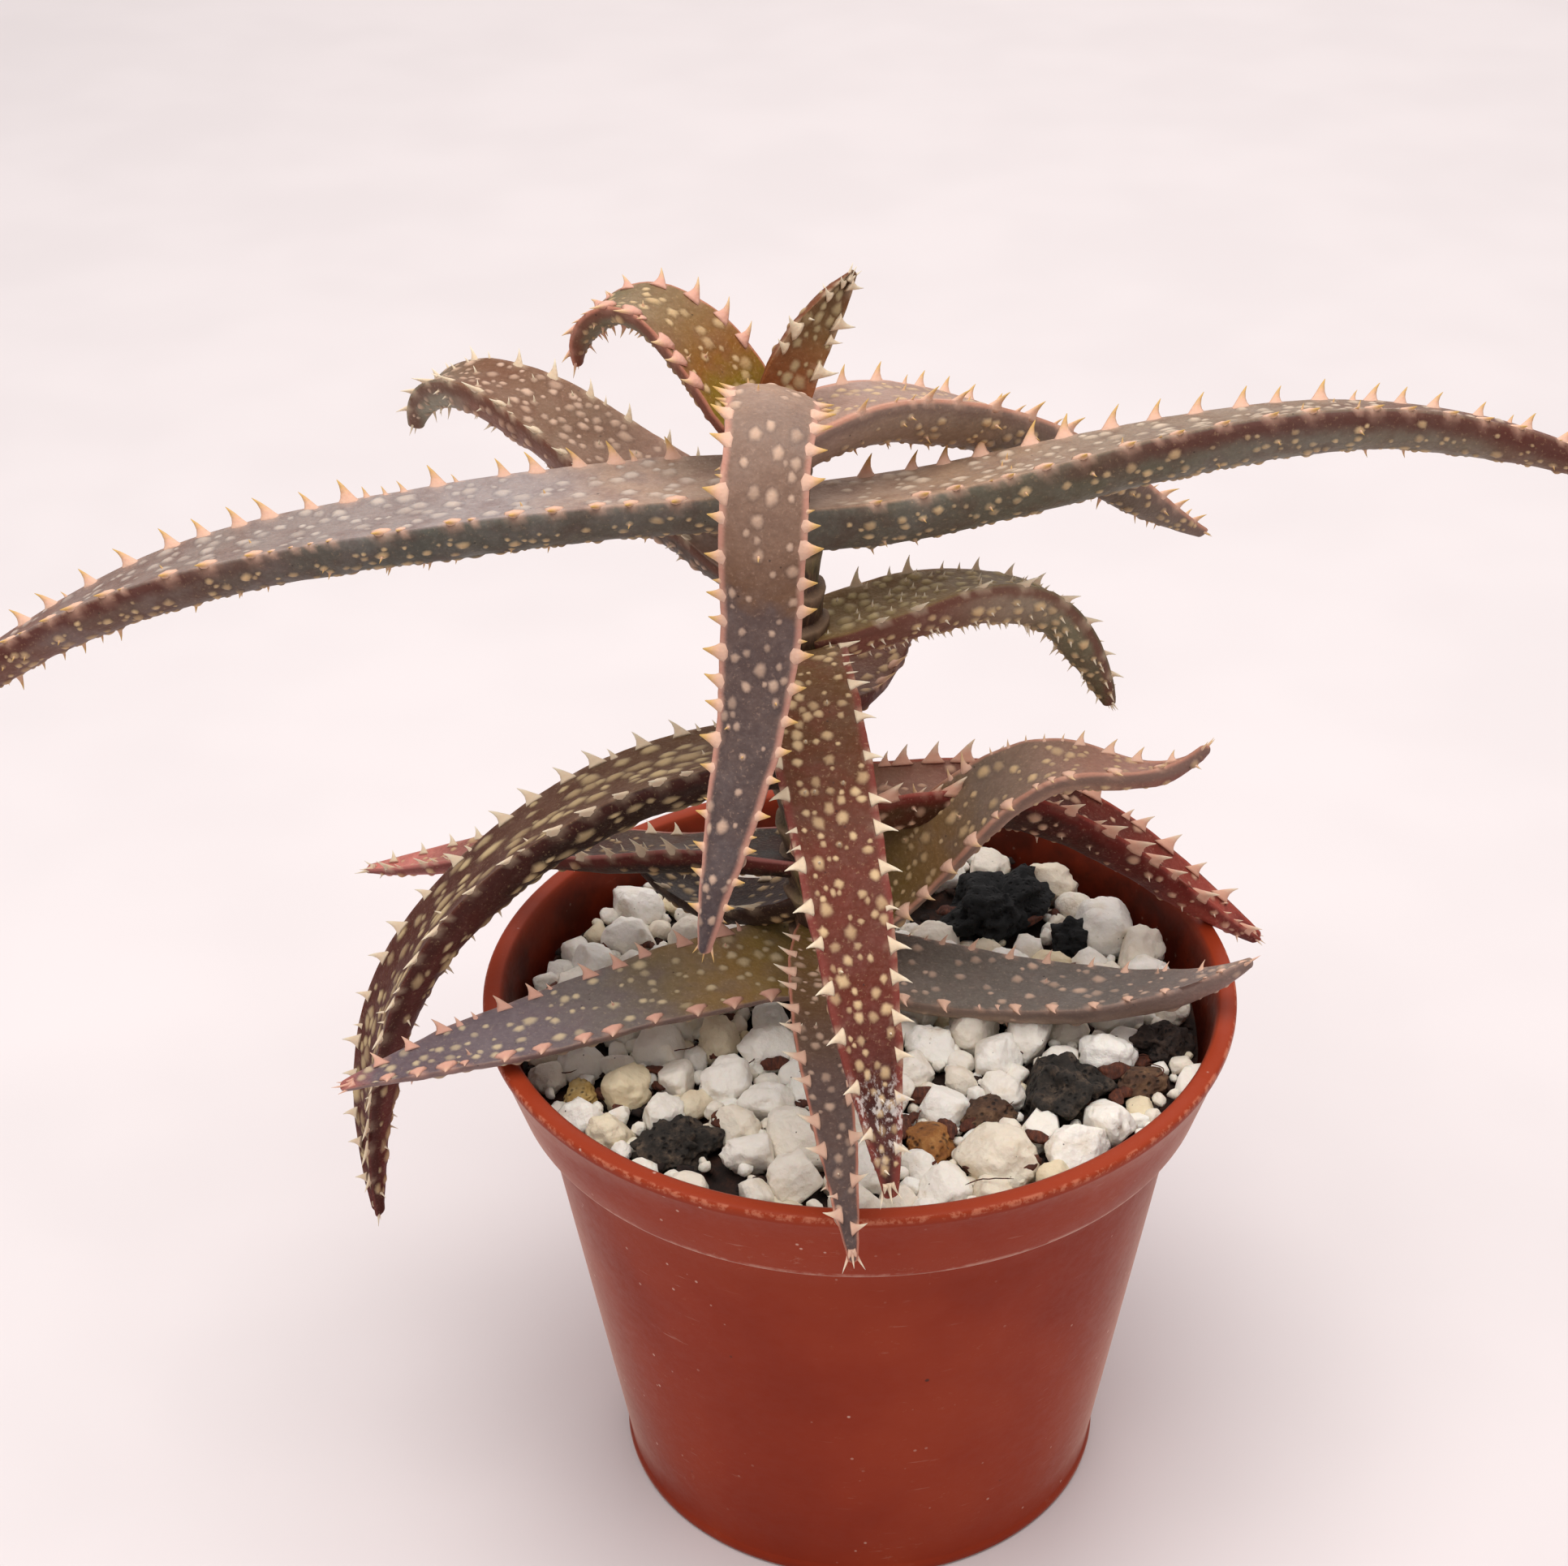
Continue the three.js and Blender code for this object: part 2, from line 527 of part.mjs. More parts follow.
const grainRandom = seeded(77);
let grains = turned([
  [0, SOIL_TOP + GAP], [BED_RADIUS, SOIL_TOP + GAP],
  [BED_RADIUS + 0.2, SOIL_TOP + GAP + BED_THICKNESS], [0, SOIL_TOP + GAP + BED_THICKNESS],
], BED_SEGMENTS);
const goldenAngle = Math.PI * (3 - Math.sqrt(5));
for (let i = 0; i < GRAIN_COUNT; i += 1) {
  const r = GRAIN_RING * Math.sqrt((i + 0.5) / GRAIN_COUNT);
  const angle = i * goldenAngle;
  const size = between(grainRandom, GRAIN_RADIUS[0], GRAIN_RADIUS[1]);
  const flat = Math.min(size, GRAIN_LIMIT - r);
  const centre = [r * Math.cos(angle), r * Math.sin(angle), SOIL_TOP + 1.4];
  const radii = [flat, flat * between(grainRandom, 0.75, 1), Math.min(size * 0.8, GRAIN_HEIGHT)];
  grains = grains.add(lump(centre, radii, grainRandom, 0, GRAIN_ROUGHNESS));
}
const trim = new THREE.BoxGeometry(100, 100, 20);
trim.translate(0, 0, SOIL_TOP + GAP - 10);
grains = grains.subtract(bodyOf(trim)).subtract(stemHole);
stoneClearances.forEach((clearance) => {
  grains = grains.subtract(clearance);
});
model.add(meshOf('perlite_bed', grains, paint(0xe4ded0, 0.85)));

// Stem
model.add(meshOf('stem', stemBody(0, STEM_FOOT.z), paint(0x5b4030, 0.8)));

// Leaves: each older leaf is cut clear of the stem and of every younger leaf
const stemClearance = stemBody(GAP + 0.1, STEM_FOOT.z);
const built = [];
LEAVES.forEach((leaf, i) => {
  const made = buildLeaf(leaf, 100 + i);
  made.solid = made.solid.subtract(stemClearance);
  built.forEach((younger) => {
    made.solid = made.solid.subtract(younger.clearance);
  });
  built.push(made);
  model.add(meshOf(made.name, made.solid, paint(made.colour, 0.55)));
});

export default model;
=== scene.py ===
# %% [markdown]
# # A small spotted aloe hybrid in a plastic pot
#
# The real thing is a stemmed dwarf succulent, about 15 cm tall, in a terracotta-coloured nursery
# pot. Its leaves are thick and narrow, they arch out from a leaning stem, and their edges carry
# hooked teeth. The pot is topped with white perlite and a few pieces of lava.
#
# The frame holds the plain solids that physics uses. Each step below makes one finer piece that
# keeps the form of its solid, and then stands in for it.

# %% Load the frame
import math
import random

import bpy
import numpy as np
from mathutils import Matrix, Vector, noise


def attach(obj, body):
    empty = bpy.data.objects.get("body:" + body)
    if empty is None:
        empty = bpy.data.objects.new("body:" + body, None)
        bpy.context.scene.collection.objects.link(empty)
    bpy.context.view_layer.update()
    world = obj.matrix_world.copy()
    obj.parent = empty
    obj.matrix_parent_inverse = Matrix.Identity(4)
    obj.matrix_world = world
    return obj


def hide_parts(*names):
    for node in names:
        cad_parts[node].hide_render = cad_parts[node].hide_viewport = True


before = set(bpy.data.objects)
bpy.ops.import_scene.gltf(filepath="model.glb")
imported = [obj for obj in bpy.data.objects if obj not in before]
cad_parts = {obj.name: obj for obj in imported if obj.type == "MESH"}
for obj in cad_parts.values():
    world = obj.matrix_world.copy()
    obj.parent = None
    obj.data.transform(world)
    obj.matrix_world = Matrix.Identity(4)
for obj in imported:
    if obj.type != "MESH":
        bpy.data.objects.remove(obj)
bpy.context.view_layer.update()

# %% [markdown]
# ## Millimetres in, metres out
#
# The frame is in metres, but a plant this small is easier to think about in millimetres. So every
# shape below is worked out in millimetres, and one function turns it into a Blender mesh in metres.
# Beside each vertex it can store named numbers, such as how far along a leaf it lies. A material
# reads them back with an Attribute node, so the colours belong to the shape and stay put in every
# view.

# %% A heap of vertices that becomes one piece
MM = 0.001
FULL_TURN = 6.28


class Heap:
    """Vertices, faces and named numbers of one piece, gathered bit by bit."""

    def __init__(self, *marks):
        self.points = []
        self.faces = []
        self.marks = {mark: [] for mark in marks}
        self.count = 0

    def add(self, points, faces, **values):
        points = np.asarray(points, float).reshape(-1, 3)
        self.points.append(points)
        self.faces += [tuple(i + self.count for i in face) for face in faces]
        for mark, store in self.marks.items():
            store.append(np.broadcast_to(np.asarray(values.get(mark, 0.0), float), (len(points),)))
        self.count += len(points)

    def piece(self, name, material, slot, replaces=()):
        mesh = bpy.data.meshes.new(name)
        mesh.from_pydata((np.concatenate(self.points) * MM).tolist(), [], self.faces)
        for mark, store in self.marks.items():
            layer = mesh.attributes.new(mark, "FLOAT", "POINT")
            layer.data.foreach_set("value", np.concatenate(store).astype(np.float32))
        mesh.polygons.foreach_set("use_smooth", [True] * len(mesh.polygons))
        mesh.materials.append(material)
        mesh.update()
        made = bpy.data.objects.new(name, mesh)
        bpy.context.scene.collection.objects.link(made)
        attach(made, "root")
        if replaces:
            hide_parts(*replaces)
        print(name, "has", sum(len(face) - 2 for face in self.faces), "triangles")
        return made


def ring_faces(rings, count):
    """Faces of a skin over rings that each have the same number of points, closed at both ends."""
    faces = []
    for i in range(rings - 1):
        for j in range(count):
            a = i * count + j
            b = i * count + (j + 1) % count
            faces.append((a, b, b + count, a + count))
    faces.append(tuple(range(count - 1, -1, -1)))
    faces.append(tuple(range((rings - 1) * count, rings * count)))
    return faces


# %% [markdown]
# ## Wiring materials in words
#
# Every finish here is worked out by nodes: no pictures. Wiring nodes by hand is long-winded, so a
# small helper holds one material and makes the few kinds of node that the plant and pot need.
# Colours are written as the usual six-digit screen values and turned into the linear values that
# the renderer wants.

# %% A small helper for node materials
def hue(screen):
    """Linear colour of a six-digit screen colour."""
    parts = [int(screen[i:i + 2], 16) / 255 for i in (0, 2, 4)]
    linear = [p / 12.92 if p <= 0.04045 else ((p + 0.055) / 1.055) ** 2.4 for p in parts]
    return (*linear, 1.0)


class Finish:
    """One material and a short way to wire its nodes."""

    def __init__(self, name, **sockets):
        self.material = bpy.data.materials.new(name)
        self.material.use_nodes = True
        self.nodes = self.material.node_tree.nodes
        self.links = self.material.node_tree.links
        self.shader = self.nodes["Principled BSDF"]
        self.place = self.nodes.new("ShaderNodeTexCoord").outputs["Object"]
        for socket, value in sockets.items():
            self.shader.inputs[socket.replace("_", " ")].default_value = value

    def feed(self, socket, value):
        if isinstance(value, bpy.types.NodeSocket):
            self.links.new(value, socket)
        else:
            socket.default_value = value

    def mark(self, name):
        node = self.nodes.new("ShaderNodeAttribute")
        node.attribute_name = name
        return node.outputs["Fac"]

    def noise(self, per_mm, detail=3.0, rough=0.55, place=None):
        node = self.nodes.new("ShaderNodeTexNoise")
        self.feed(node.inputs["Vector"], place or self.place)
        node.inputs["Scale"].default_value = per_mm / MM
        node.inputs["Detail"].default_value = detail
        node.inputs["Roughness"].default_value = rough
        return node.outputs["Fac"]

    def cells(self, per_mm):
        node = self.nodes.new("ShaderNodeTexVoronoi")
        self.feed(node.inputs["Vector"], self.place)
        node.inputs["Scale"].default_value = per_mm / MM
        return node.outputs["Distance"]

    def stretched(self, x=1.0, y=1.0, z=1.0):
        node = self.nodes.new("ShaderNodeMapping")
        self.feed(node.inputs["Vector"], self.place)
        node.inputs["Scale"].default_value = (x, y, z)
        return node.outputs["Vector"]

    def maths(self, operation, a, b=0.0, clamp=False):
        node = self.nodes.new("ShaderNodeMath")
        node.operation = operation
        node.use_clamp = clamp
        self.feed(node.inputs[0], a)
        self.feed(node.inputs[1], b)
        return node.outputs[0]

    def times(self, first, *others):
        for other in others:
            first = self.maths("MULTIPLY", first, other)
        return first

    def band(self, value, low, high, to_low=0.0, to_high=1.0):
        node = self.nodes.new("ShaderNodeMapRange")
        node.interpolation_type = "SMOOTHSTEP"
        self.feed(node.inputs["Value"], value)
        node.inputs["From Min"].default_value = low
        node.inputs["From Max"].default_value = high
        node.inputs["To Min"].default_value = to_low
        node.inputs["To Max"].default_value = to_high
        return node.outputs["Result"]

    def ramp(self, value, stops):
        node = self.nodes.new("ShaderNodeValToRGB")
        self.feed(node.inputs["Fac"], value)
        elements = node.color_ramp.elements
        while len(elements) < len(stops):
            elements.new(0.5)
        for element, (place, colour) in zip(elements, stops):
            element.position = place
            element.color = hue(colour)
        return node.outputs["Color"]

    def mix(self, factor, a, b):
        node = self.nodes.new("ShaderNodeMix")
        node.data_type = "RGBA"
        self.feed(node.inputs["Factor"], factor)
        self.feed(node.inputs[6], hue(a) if isinstance(a, str) else a)
        self.feed(node.inputs[7], hue(b) if isinstance(b, str) else b)
        return node.outputs[2]

    def done(self, colour, rough=None, height=None, depth_mm=0.05, strength=1.0):
        self.feed(self.shader.inputs["Base Color"], colour)
        if rough is not None:
            self.feed(self.shader.inputs["Roughness"], rough)
        if height is not None:
            bump = self.nodes.new("ShaderNodeBump")
            bump.inputs["Strength"].default_value = strength
            bump.inputs["Distance"].default_value = depth_mm * MM
            self.feed(bump.inputs["Height"], height)
            self.links.new(bump.outputs["Normal"], self.shader.inputs["Normal"])
        return self.material


# %% [markdown]
# ## Camera
#
# The picture was taken from about 39 cm away, looking down by some 32 degrees, a little to the left
# and with a trace of roll. These numbers come from fitting a pinhole camera to the curves of the
# rim, the collar and the foot. Blender's camera looks along its own -Z, so its matrix is built from
# the right, up and backward directions.

# %% Place the camera
IMAGE_WIDTH_PX = 1932
FOCAL_PX = 3800
SENSOR_MM = 36
CAMERA_BACK = 286.15
CAMERA_HEIGHT = 266.74
PITCH_DOWN = math.radians(31.548)
YAW_RIGHT = math.radians(-1.624)
ROLL = math.radians(-0.93)


def set_camera():
    ahead = Vector((
        math.sin(YAW_RIGHT) * math.cos(PITCH_DOWN),
        math.cos(YAW_RIGHT) * math.cos(PITCH_DOWN),
        -math.sin(PITCH_DOWN),
    ))
    level = ahead.cross(Vector((0, 0, 1))).normalized()
    lift = level.cross(ahead)
    right = math.cos(ROLL) * level + math.sin(ROLL) * lift
    up = -math.sin(ROLL) * level + math.cos(ROLL) * lift
    lens = bpy.data.cameras.new("camera")
    lens.sensor_width = SENSOR_MM
    lens.lens = FOCAL_PX / IMAGE_WIDTH_PX * SENSOR_MM
    lens.clip_start = 0.01
    made = bpy.data.objects.new("camera", lens)
    turned = Matrix((right, up, -ahead)).transposed().to_4x4()
    made.matrix_world = Matrix.Translation(Vector((0, -CAMERA_BACK, CAMERA_HEIGHT)) * MM) @ turned
    bpy.context.scene.collection.objects.link(made)
    bpy.context.scene.camera = made
    print("lens", round(lens.lens, 2), "mm")


set_camera()

# %% [markdown]
# ## Floor and light
#
# The plant stands in a light tent: white card below, white all round, and one broad soft light
# overhead. A pale sky colour does for the walls of the tent. One big area lamp, above and a little
# in front, gives the soft shade under the rim and the leaves, and a weak one from behind brightens
# the edges of the leaves and teeth.

# %% Floor, sky and lamps
FLOOR_SIZE = 4.0
CARD_COLOUR = "e6e0e1"
CARD_SHADE = "e2dcdd"
SKY_COLOUR = "fdf8f8"
SKY_STRENGTH = 0.53
LAMPS = [
    dict(
        name="overhead_softbox", place=(-0.03, -0.12, 0.85), aim=(0, 0, 0.05), size=0.8, watts=6.4,
        colour="fffaf7",
    ),
    dict(
        name="rear_softbox", place=(0.1, 0.8, 0.55), aim=(0, 0, 0.1), size=0.6, watts=1.6,
        colour="fff6f2",
    ),
]


def lamp(name, place, aim, size, watts, colour):
    light = bpy.data.lights.new(name, "AREA")
    light.shape = "DISK"
    light.size = size
    light.energy = watts
    light.color = hue(colour)[:3]
    made = bpy.data.objects.new(name, light)
    made.location = place
    made.rotation_euler = (Vector(aim) - Vector(place)).to_track_quat("-Z", "Y").to_euler()
    bpy.context.scene.collection.objects.link(made)


def set_stage():
    half = FLOOR_SIZE / 2
    mesh = bpy.data.meshes.new("floor")
    corners = [(-half, -half, 0), (half, -half, 0), (half, half, 0), (-half, half, 0)]
    mesh.from_pydata(corners, [], [(0, 1, 2, 3)])
    card = Finish("white_card", Roughness=0.9)
    grain = card.noise(0.02, 2)
    mesh.materials.append(card.done(card.mix(card.band(grain, 0.3, 0.7), CARD_SHADE, CARD_COLOUR)))
    floor = bpy.data.objects.new("floor", mesh)
    bpy.context.scene.collection.objects.link(floor)
    sky = bpy.data.worlds.new("light_tent")
    sky.use_nodes = True
    sky.node_tree.nodes["Background"].inputs["Color"].default_value = hue(SKY_COLOUR)
    sky.node_tree.nodes["Background"].inputs["Strength"].default_value = SKY_STRENGTH
    bpy.context.scene.world = sky
    bpy.context.scene.view_settings.view_transform = "Standard"
    for values in LAMPS:
        lamp(**values)


set_stage()

# %% [markdown]
# ## The pot
#
# A thin moulded pot: foot ring, tapered wall, a step out to the collar, and a flat lip with a worn
# outer corner. All of it is round, so one outline turned about the axis makes it. The outline
# repeats the solid's, with the corners rounded off, and many more steps round the axis so that the
# rim is a true curve. The drain holes are left to a Boolean cut, which is the plain way to drill a
# turned part.

# %% Outline of the pot
POT_HEIGHT = 65
RIM_RADIUS = 42.5
LIP_WIDTH = 1.9
COLLAR_BOTTOM_Z = 54.5
COLLAR_BOTTOM_RADIUS = 39.4
BODY_TOP_RADIUS = 36.9
FOOT_RADIUS = 28.3
WALL = 1.1
FLOOR_TOP = 2.2
RECESS = 0.8
POT_STEPS = 180
LONGEST_STEP = 4
DRAIN_HOLES = 6
DRAIN_RADIUS = 3
DRAIN_RING = 17
DRILL_SIDES = 24


def pot_outline():
    lip_inner = RIM_RADIUS - LIP_WIDTH
    inner_collar = COLLAR_BOTTOM_RADIUS - WALL
    return [
        (0, 0), (9, 0), (10, RECESS), (24, RECESS), (25, 0),
        (FOOT_RADIUS - 0.4, 0), (FOOT_RADIUS + 0.1, 0.15),
        (FOOT_RADIUS + 0.3, 0.5), (FOOT_RADIUS + 0.3, 1.2),
        (FOOT_RADIUS + 0.15, 1.45), (FOOT_RADIUS + 0.05, 1.8),
        (BODY_TOP_RADIUS, COLLAR_BOTTOM_Z - 0.7), (BODY_TOP_RADIUS + 0.25, COLLAR_BOTTOM_Z - 0.35),
        (COLLAR_BOTTOM_RADIUS - 0.7, COLLAR_BOTTOM_Z - 0.05),
        (COLLAR_BOTTOM_RADIUS - 0.2, COLLAR_BOTTOM_Z + 0.1),
        (COLLAR_BOTTOM_RADIUS, COLLAR_BOTTOM_Z + 0.5),
        (RIM_RADIUS - 0.45, POT_HEIGHT - 1.7), (RIM_RADIUS - 0.1, POT_HEIGHT - 1.25),
        (RIM_RADIUS, POT_HEIGHT - 0.95), (RIM_RADIUS, POT_HEIGHT - 0.35),
        (RIM_RADIUS - 0.12, POT_HEIGHT - 0.12), (RIM_RADIUS - 0.4, POT_HEIGHT),
        (RIM_RADIUS - 1, POT_HEIGHT + 0.05), (lip_inner + 0.15, POT_HEIGHT - 0.02),
        (lip_inner - 0.2, POT_HEIGHT - 0.2), (lip_inner - 0.4, POT_HEIGHT - 0.7),
        (inner_collar, COLLAR_BOTTOM_Z + 0.2), (BODY_TOP_RADIUS - WALL, COLLAR_BOTTOM_Z - 1.4),
        (FOOT_RADIUS - WALL, FLOOR_TOP), (0, FLOOR_TOP),
    ]


def split_long(outline, longest):
    """The same outline with extra points on its long straight stretches."""
    rows = [outline[0]]
    for (r0, z0), (r1, z1) in zip(outline, outline[1:]):
        pieces = max(1, math.ceil(math.hypot(r1 - r0, z1 - z0) / longest))
        rows += [(r0 + (r1 - r0) * k / pieces, z0 + (z1 - z0) * k / pieces) for k in range(1, pieces + 1)]
    return rows


print("pot outline has", len(split_long(pot_outline(), LONGEST_STEP)), "points")

# %% [markdown]
# ### Terracotta-coloured plastic
#
# The plastic is a dull brick red, a touch more orange where the lip catches wear. Handling has left
# chalky scuffs, most of them where the collar steps in, with pale specks and dark crumbs of mix on
# the wall. The outer corner of the lip is frayed to a pale ragged line. Each of these is a mask
# made from noise and from the height on the pot.

# %% Plastic finish
def terracotta_plastic():
    plastic = Finish(
        "terracotta_plastic", Roughness=0.42, IOR=1.47, Specular_IOR_Level=0.15,
        Sheen_Roughness=0.4, Sheen_Tint=hue("ffe2d2"))
    height = plastic.mark("height")
    radius = plastic.mark("radius")
    inside = plastic.mark("inside")
    turned = plastic.nodes.new("ShaderNodeLayerWeight").outputs["Facing"]
    outside = plastic.maths("SUBTRACT", 1.0, inside)
    haze = plastic.times(plastic.band(turned, 0.55, 1.0, 0.0, 0.5), outside)
    plastic.feed(plastic.shader.inputs["Sheen Weight"], haze)
    cloud = plastic.noise(0.035, 4)
    base = plastic.ramp(plastic.band(cloud, 0.3, 0.7), [(0, "862910"), (0.5, "8f2f15"), (1, "97361a")])
    lip = plastic.band(height, POT_HEIGHT - 1.3, POT_HEIGHT - 0.3)
    base = plastic.mix(plastic.times(lip, 0.75), base, "9d3b1f")

    fray_noise = plastic.noise(0.9, 5, 0.7)
    outer = plastic.band(radius, RIM_RADIUS - 0.35, RIM_RADIUS - 0.1)
    top = plastic.band(height, POT_HEIGHT - 0.9, POT_HEIGHT - 0.5)
    fray = plastic.times(outer, top, plastic.band(fray_noise, 0.46, 0.6))
    base = plastic.mix(plastic.times(fray, 0.45), base, "dc8f70")

    collar_step = plastic.maths("SUBTRACT", height, COLLAR_BOTTOM_Z + 0.4)
    near_step = plastic.band(plastic.maths("ABSOLUTE", collar_step), 3.6, 0.0)
    on_step = plastic.band(plastic.maths("ABSOLUTE", collar_step), 0.45, 0.05)
    scuff_noise = plastic.noise(0.55, 9, 0.8, plastic.stretched(1, 1, 1.6))
    patch = plastic.band(plastic.noise(0.07, 3), 0.42, 0.66)
    often = plastic.maths("ADD", near_step, plastic.times(patch, 0.45))
    scuffs = plastic.times(plastic.band(scuff_noise, 0.56, 0.68), often)
    base = plastic.mix(plastic.maths("MULTIPLY", scuffs, 0.5, True), base, "b98472")
    dust_line = plastic.times(on_step, plastic.band(plastic.noise(0.25, 5, 0.7), 0.42, 0.6))
    base = plastic.mix(plastic.times(dust_line, 0.55), base, "c99684")
    scratch = plastic.band(plastic.noise(0.5, 4, 0.6, plastic.stretched(0.35, 0.35, 4)), 0.66, 0.72)
    base = plastic.mix(plastic.times(scratch, patch, 0.35), base, "c08f7f")

    sparse = plastic.band(plastic.noise(0.06, 3), 0.45, 0.62)
    specks = plastic.times(plastic.band(plastic.cells(0.42), 0.1, 0.05), sparse)
    base = plastic.mix(plastic.times(specks, 0.7), base, "d9b3a2")
    crumbs = plastic.band(plastic.cells(0.11), 0.035, 0.02)
    base = plastic.mix(plastic.times(crumbs, 0.8), base, "3a211a")

    # Inside the pot the wall darkens in patches toward near-black, more so below the lip: partly real
    # soil stain, partly painted shade in the pot's hollow.
    stain_and_shade_patches = plastic.band(plastic.noise(0.12, 5, 0.65), 0.35, 0.65, 0.5, 0.85)
    depth = plastic.band(height, POT_HEIGHT - 0.3, POT_HEIGHT - 3, 0.5, 1.0)
    stain = plastic.times(stain_and_shade_patches, depth, inside)
    base = plastic.mix(stain, base, "32130b")

    rough = plastic.band(scuff_noise, 0.3, 0.8, 0.42, 0.66)
    ripple = plastic.noise(0.9, 4, 0.6)
    height_map = plastic.maths("ADD", ripple, plastic.times(fray, 2.0))
    return plastic.done(base, rough, height_map, 0.03, 0.5)


# %% Turn the pot
def make_pot():
    rows = split_long(pot_outline(), LONGEST_STEP)
    heap = Heap("height", "radius", "inside")
    angles = np.arange(POT_STEPS) / POT_STEPS * 2 * math.pi
    inner = rows[1:-1]
    points = [(0, 0, rows[0][1])]
    for r, z in inner:
        points += [(r * math.cos(a), r * math.sin(a), z) for a in angles]
    points.append((0, 0, rows[-1][1]))
    faces = []
    for j in range(POT_STEPS):
        k = (j + 1) % POT_STEPS
        faces.append((0, 1 + k, 1 + j))
        for i in range(len(inner) - 1):
            a, b = 1 + i * POT_STEPS, 1 + (i + 1) * POT_STEPS
            faces.append((a + j, a + k, b + k, b + j))
        last = 1 + (len(inner) - 1) * POT_STEPS
        faces.append((last + j, last + k, len(points) - 1))
    radii = [math.hypot(x, y) for x, y, _ in points]
    lip_row = next(i for i, (r, z) in enumerate(rows) if z > POT_HEIGHT)
    inside = [float(i > 1 + (lip_row + 1) * POT_STEPS) for i in range(len(points))]
    heap.add(points, faces, height=[p[2] for p in points], radius=radii, inside=inside)
    pot = heap.piece("plastic_pot", terracotta_plastic(), "pot_plastic", ["pot"])
    return pot


def drill(pot):
    """Cuts the drain holes through the floor and keeps the result as the pot's own mesh."""
    sides = DRILL_SIDES
    heap = Heap()
    for i in range(DRAIN_HOLES):
        middle = (i + 0.5) / DRAIN_HOLES * 2 * math.pi
        x, y = DRAIN_RING * math.cos(middle), DRAIN_RING * math.sin(middle)
        rings = []
        for z in (-2, 5):
            rings += [
                (x + DRAIN_RADIUS * math.cos(a), y + DRAIN_RADIUS * math.sin(a), z)
                for a in np.arange(sides) / sides * 2 * math.pi
            ]
        heap.add(rings, ring_faces(2, sides))
    mesh = bpy.data.meshes.new("drill")
    mesh.from_pydata((np.concatenate(heap.points) * MM).tolist(), [], heap.faces)
    cutter = bpy.data.objects.new("drill", mesh)
    bpy.context.scene.collection.objects.link(cutter)
    cut = pot.modifiers.new("drain_holes", "BOOLEAN")
    cut.operation = "DIFFERENCE"
    cut.object = cutter
    shown = bpy.context.evaluated_depsgraph_get()
    drilled = bpy.data.meshes.new_from_object(pot.evaluated_get(shown))
    pot.modifiers.clear()
    pot.data = drilled
    bpy.data.objects.remove(cutter)
    print("pot drilled:", len(pot.data.polygons), "faces")


drill(make_pot())

# %% [markdown]
# ## Grit on top of the mix
#
# Perlite is popped volcanic glass: white, light, knobbly grains of 2 to 8 mm, chunky and a little
# worn. A grain starts as a ball of small triangles, and each of its points goes out to the farthest
# of a few overlapping balls, which leaves round knobs with soft creases between them. A stone
# starts from the same ball, but noise moves its points in and out, and flat chips are cut off it.

# %% A ball of triangles
def ball(levels):
    """Points and faces of a unit ball, split from a twenty-faced solid."""
    golden = (1 + 5 ** 0.5) / 2
    points = [Vector(p).normalized() for p in (
        (-1, golden, 0), (1, golden, 0), (-1, -golden, 0), (1, -golden, 0),
        (0, -1, golden), (0, 1, golden), (0, -1, -golden), (0, 1, -golden),
        (golden, 0, -1), (golden, 0, 1), (-golden, 0, -1), (-golden, 0, 1),
    )]
    faces = [
        (0, 11, 5), (0, 5, 1), (0, 1, 7), (0, 7, 10), (0, 10, 11), (1, 5, 9), (5, 11, 4),
        (11, 10, 2), (10, 7, 6), (7, 1, 8), (3, 9, 4), (3, 4, 2), (3, 2, 6), (3, 6, 8),
        (3, 8, 9), (4, 9, 5), (2, 4, 11), (6, 2, 10), (8, 6, 7), (9, 8, 1),
    ]
    for _ in range(levels):
        middles = {}

        def middle(a, b):
            key = (min(a, b), max(a, b))
            if key not in middles:
                middles[key] = len(points)
                points.append((points[a] + points[b]).normalized())
            return middles[key]

        finer = []
        for a, b, c in faces:
            ab, bc, ca = middle(a, b), middle(b, c), middle(c, a)
            finer += [(a, ab, ca), (b, bc, ab), (c, ca, bc), (ab, bc, ca)]
        faces = finer
    return points, faces


BALLS = {levels: ball(levels) for levels in (1, 2, 3, 4)}
print("ball faces:", {levels: len(faces) for levels, (points, faces) in BALLS.items()})


# %% Stones from a chipped ball, grains from a few knobs
def random_seed(chance):
    return Vector((chance.uniform(-50, 50), chance.uniform(-50, 50), chance.uniform(-50, 50)))


def random_side(chance):
    return Vector((chance.gauss(0, 1), chance.gauss(0, 1), chance.gauss(0, 1))).normalized()


def random_turn(chance):
    spin = Matrix.Rotation(chance.uniform(0, FULL_TURN), 3, "Z")
    return spin @ Matrix.Rotation(chance.uniform(-0.5, 0.5), 3, "X")


def lump(centre, radii, chance, levels, lumps, crumbs, lump_scale=1.2, crumb_scale=4.0, flats=0):
    """A stone: a ball pushed in and out by broad lumps and fine crumbs, with some flat chipped sides."""
    points, faces = BALLS[levels]
    seed, turn = random_seed(chance), random_turn(chance)
    chips = [(random_side(chance), chance.uniform(0.7, 0.92)) for _ in range(flats)]
    out = []
    for p in points:
        broad = lumps * noise.noise(p * lump_scale + seed)
        fine = crumbs * noise.noise(p * crumb_scale + seed)
        q = p * (1 + broad + fine)
        for side, reach in chips:
            over = q.dot(side) - reach
            if over > 0:
                q = q - side * over * 0.85
        q = turn @ Vector((q.x * radii[0], q.y * radii[1], q.z * radii[2]))
        out.append((centre[0] + q.x, centre[1] + q.y, centre[2] + q.z))
    return out, faces


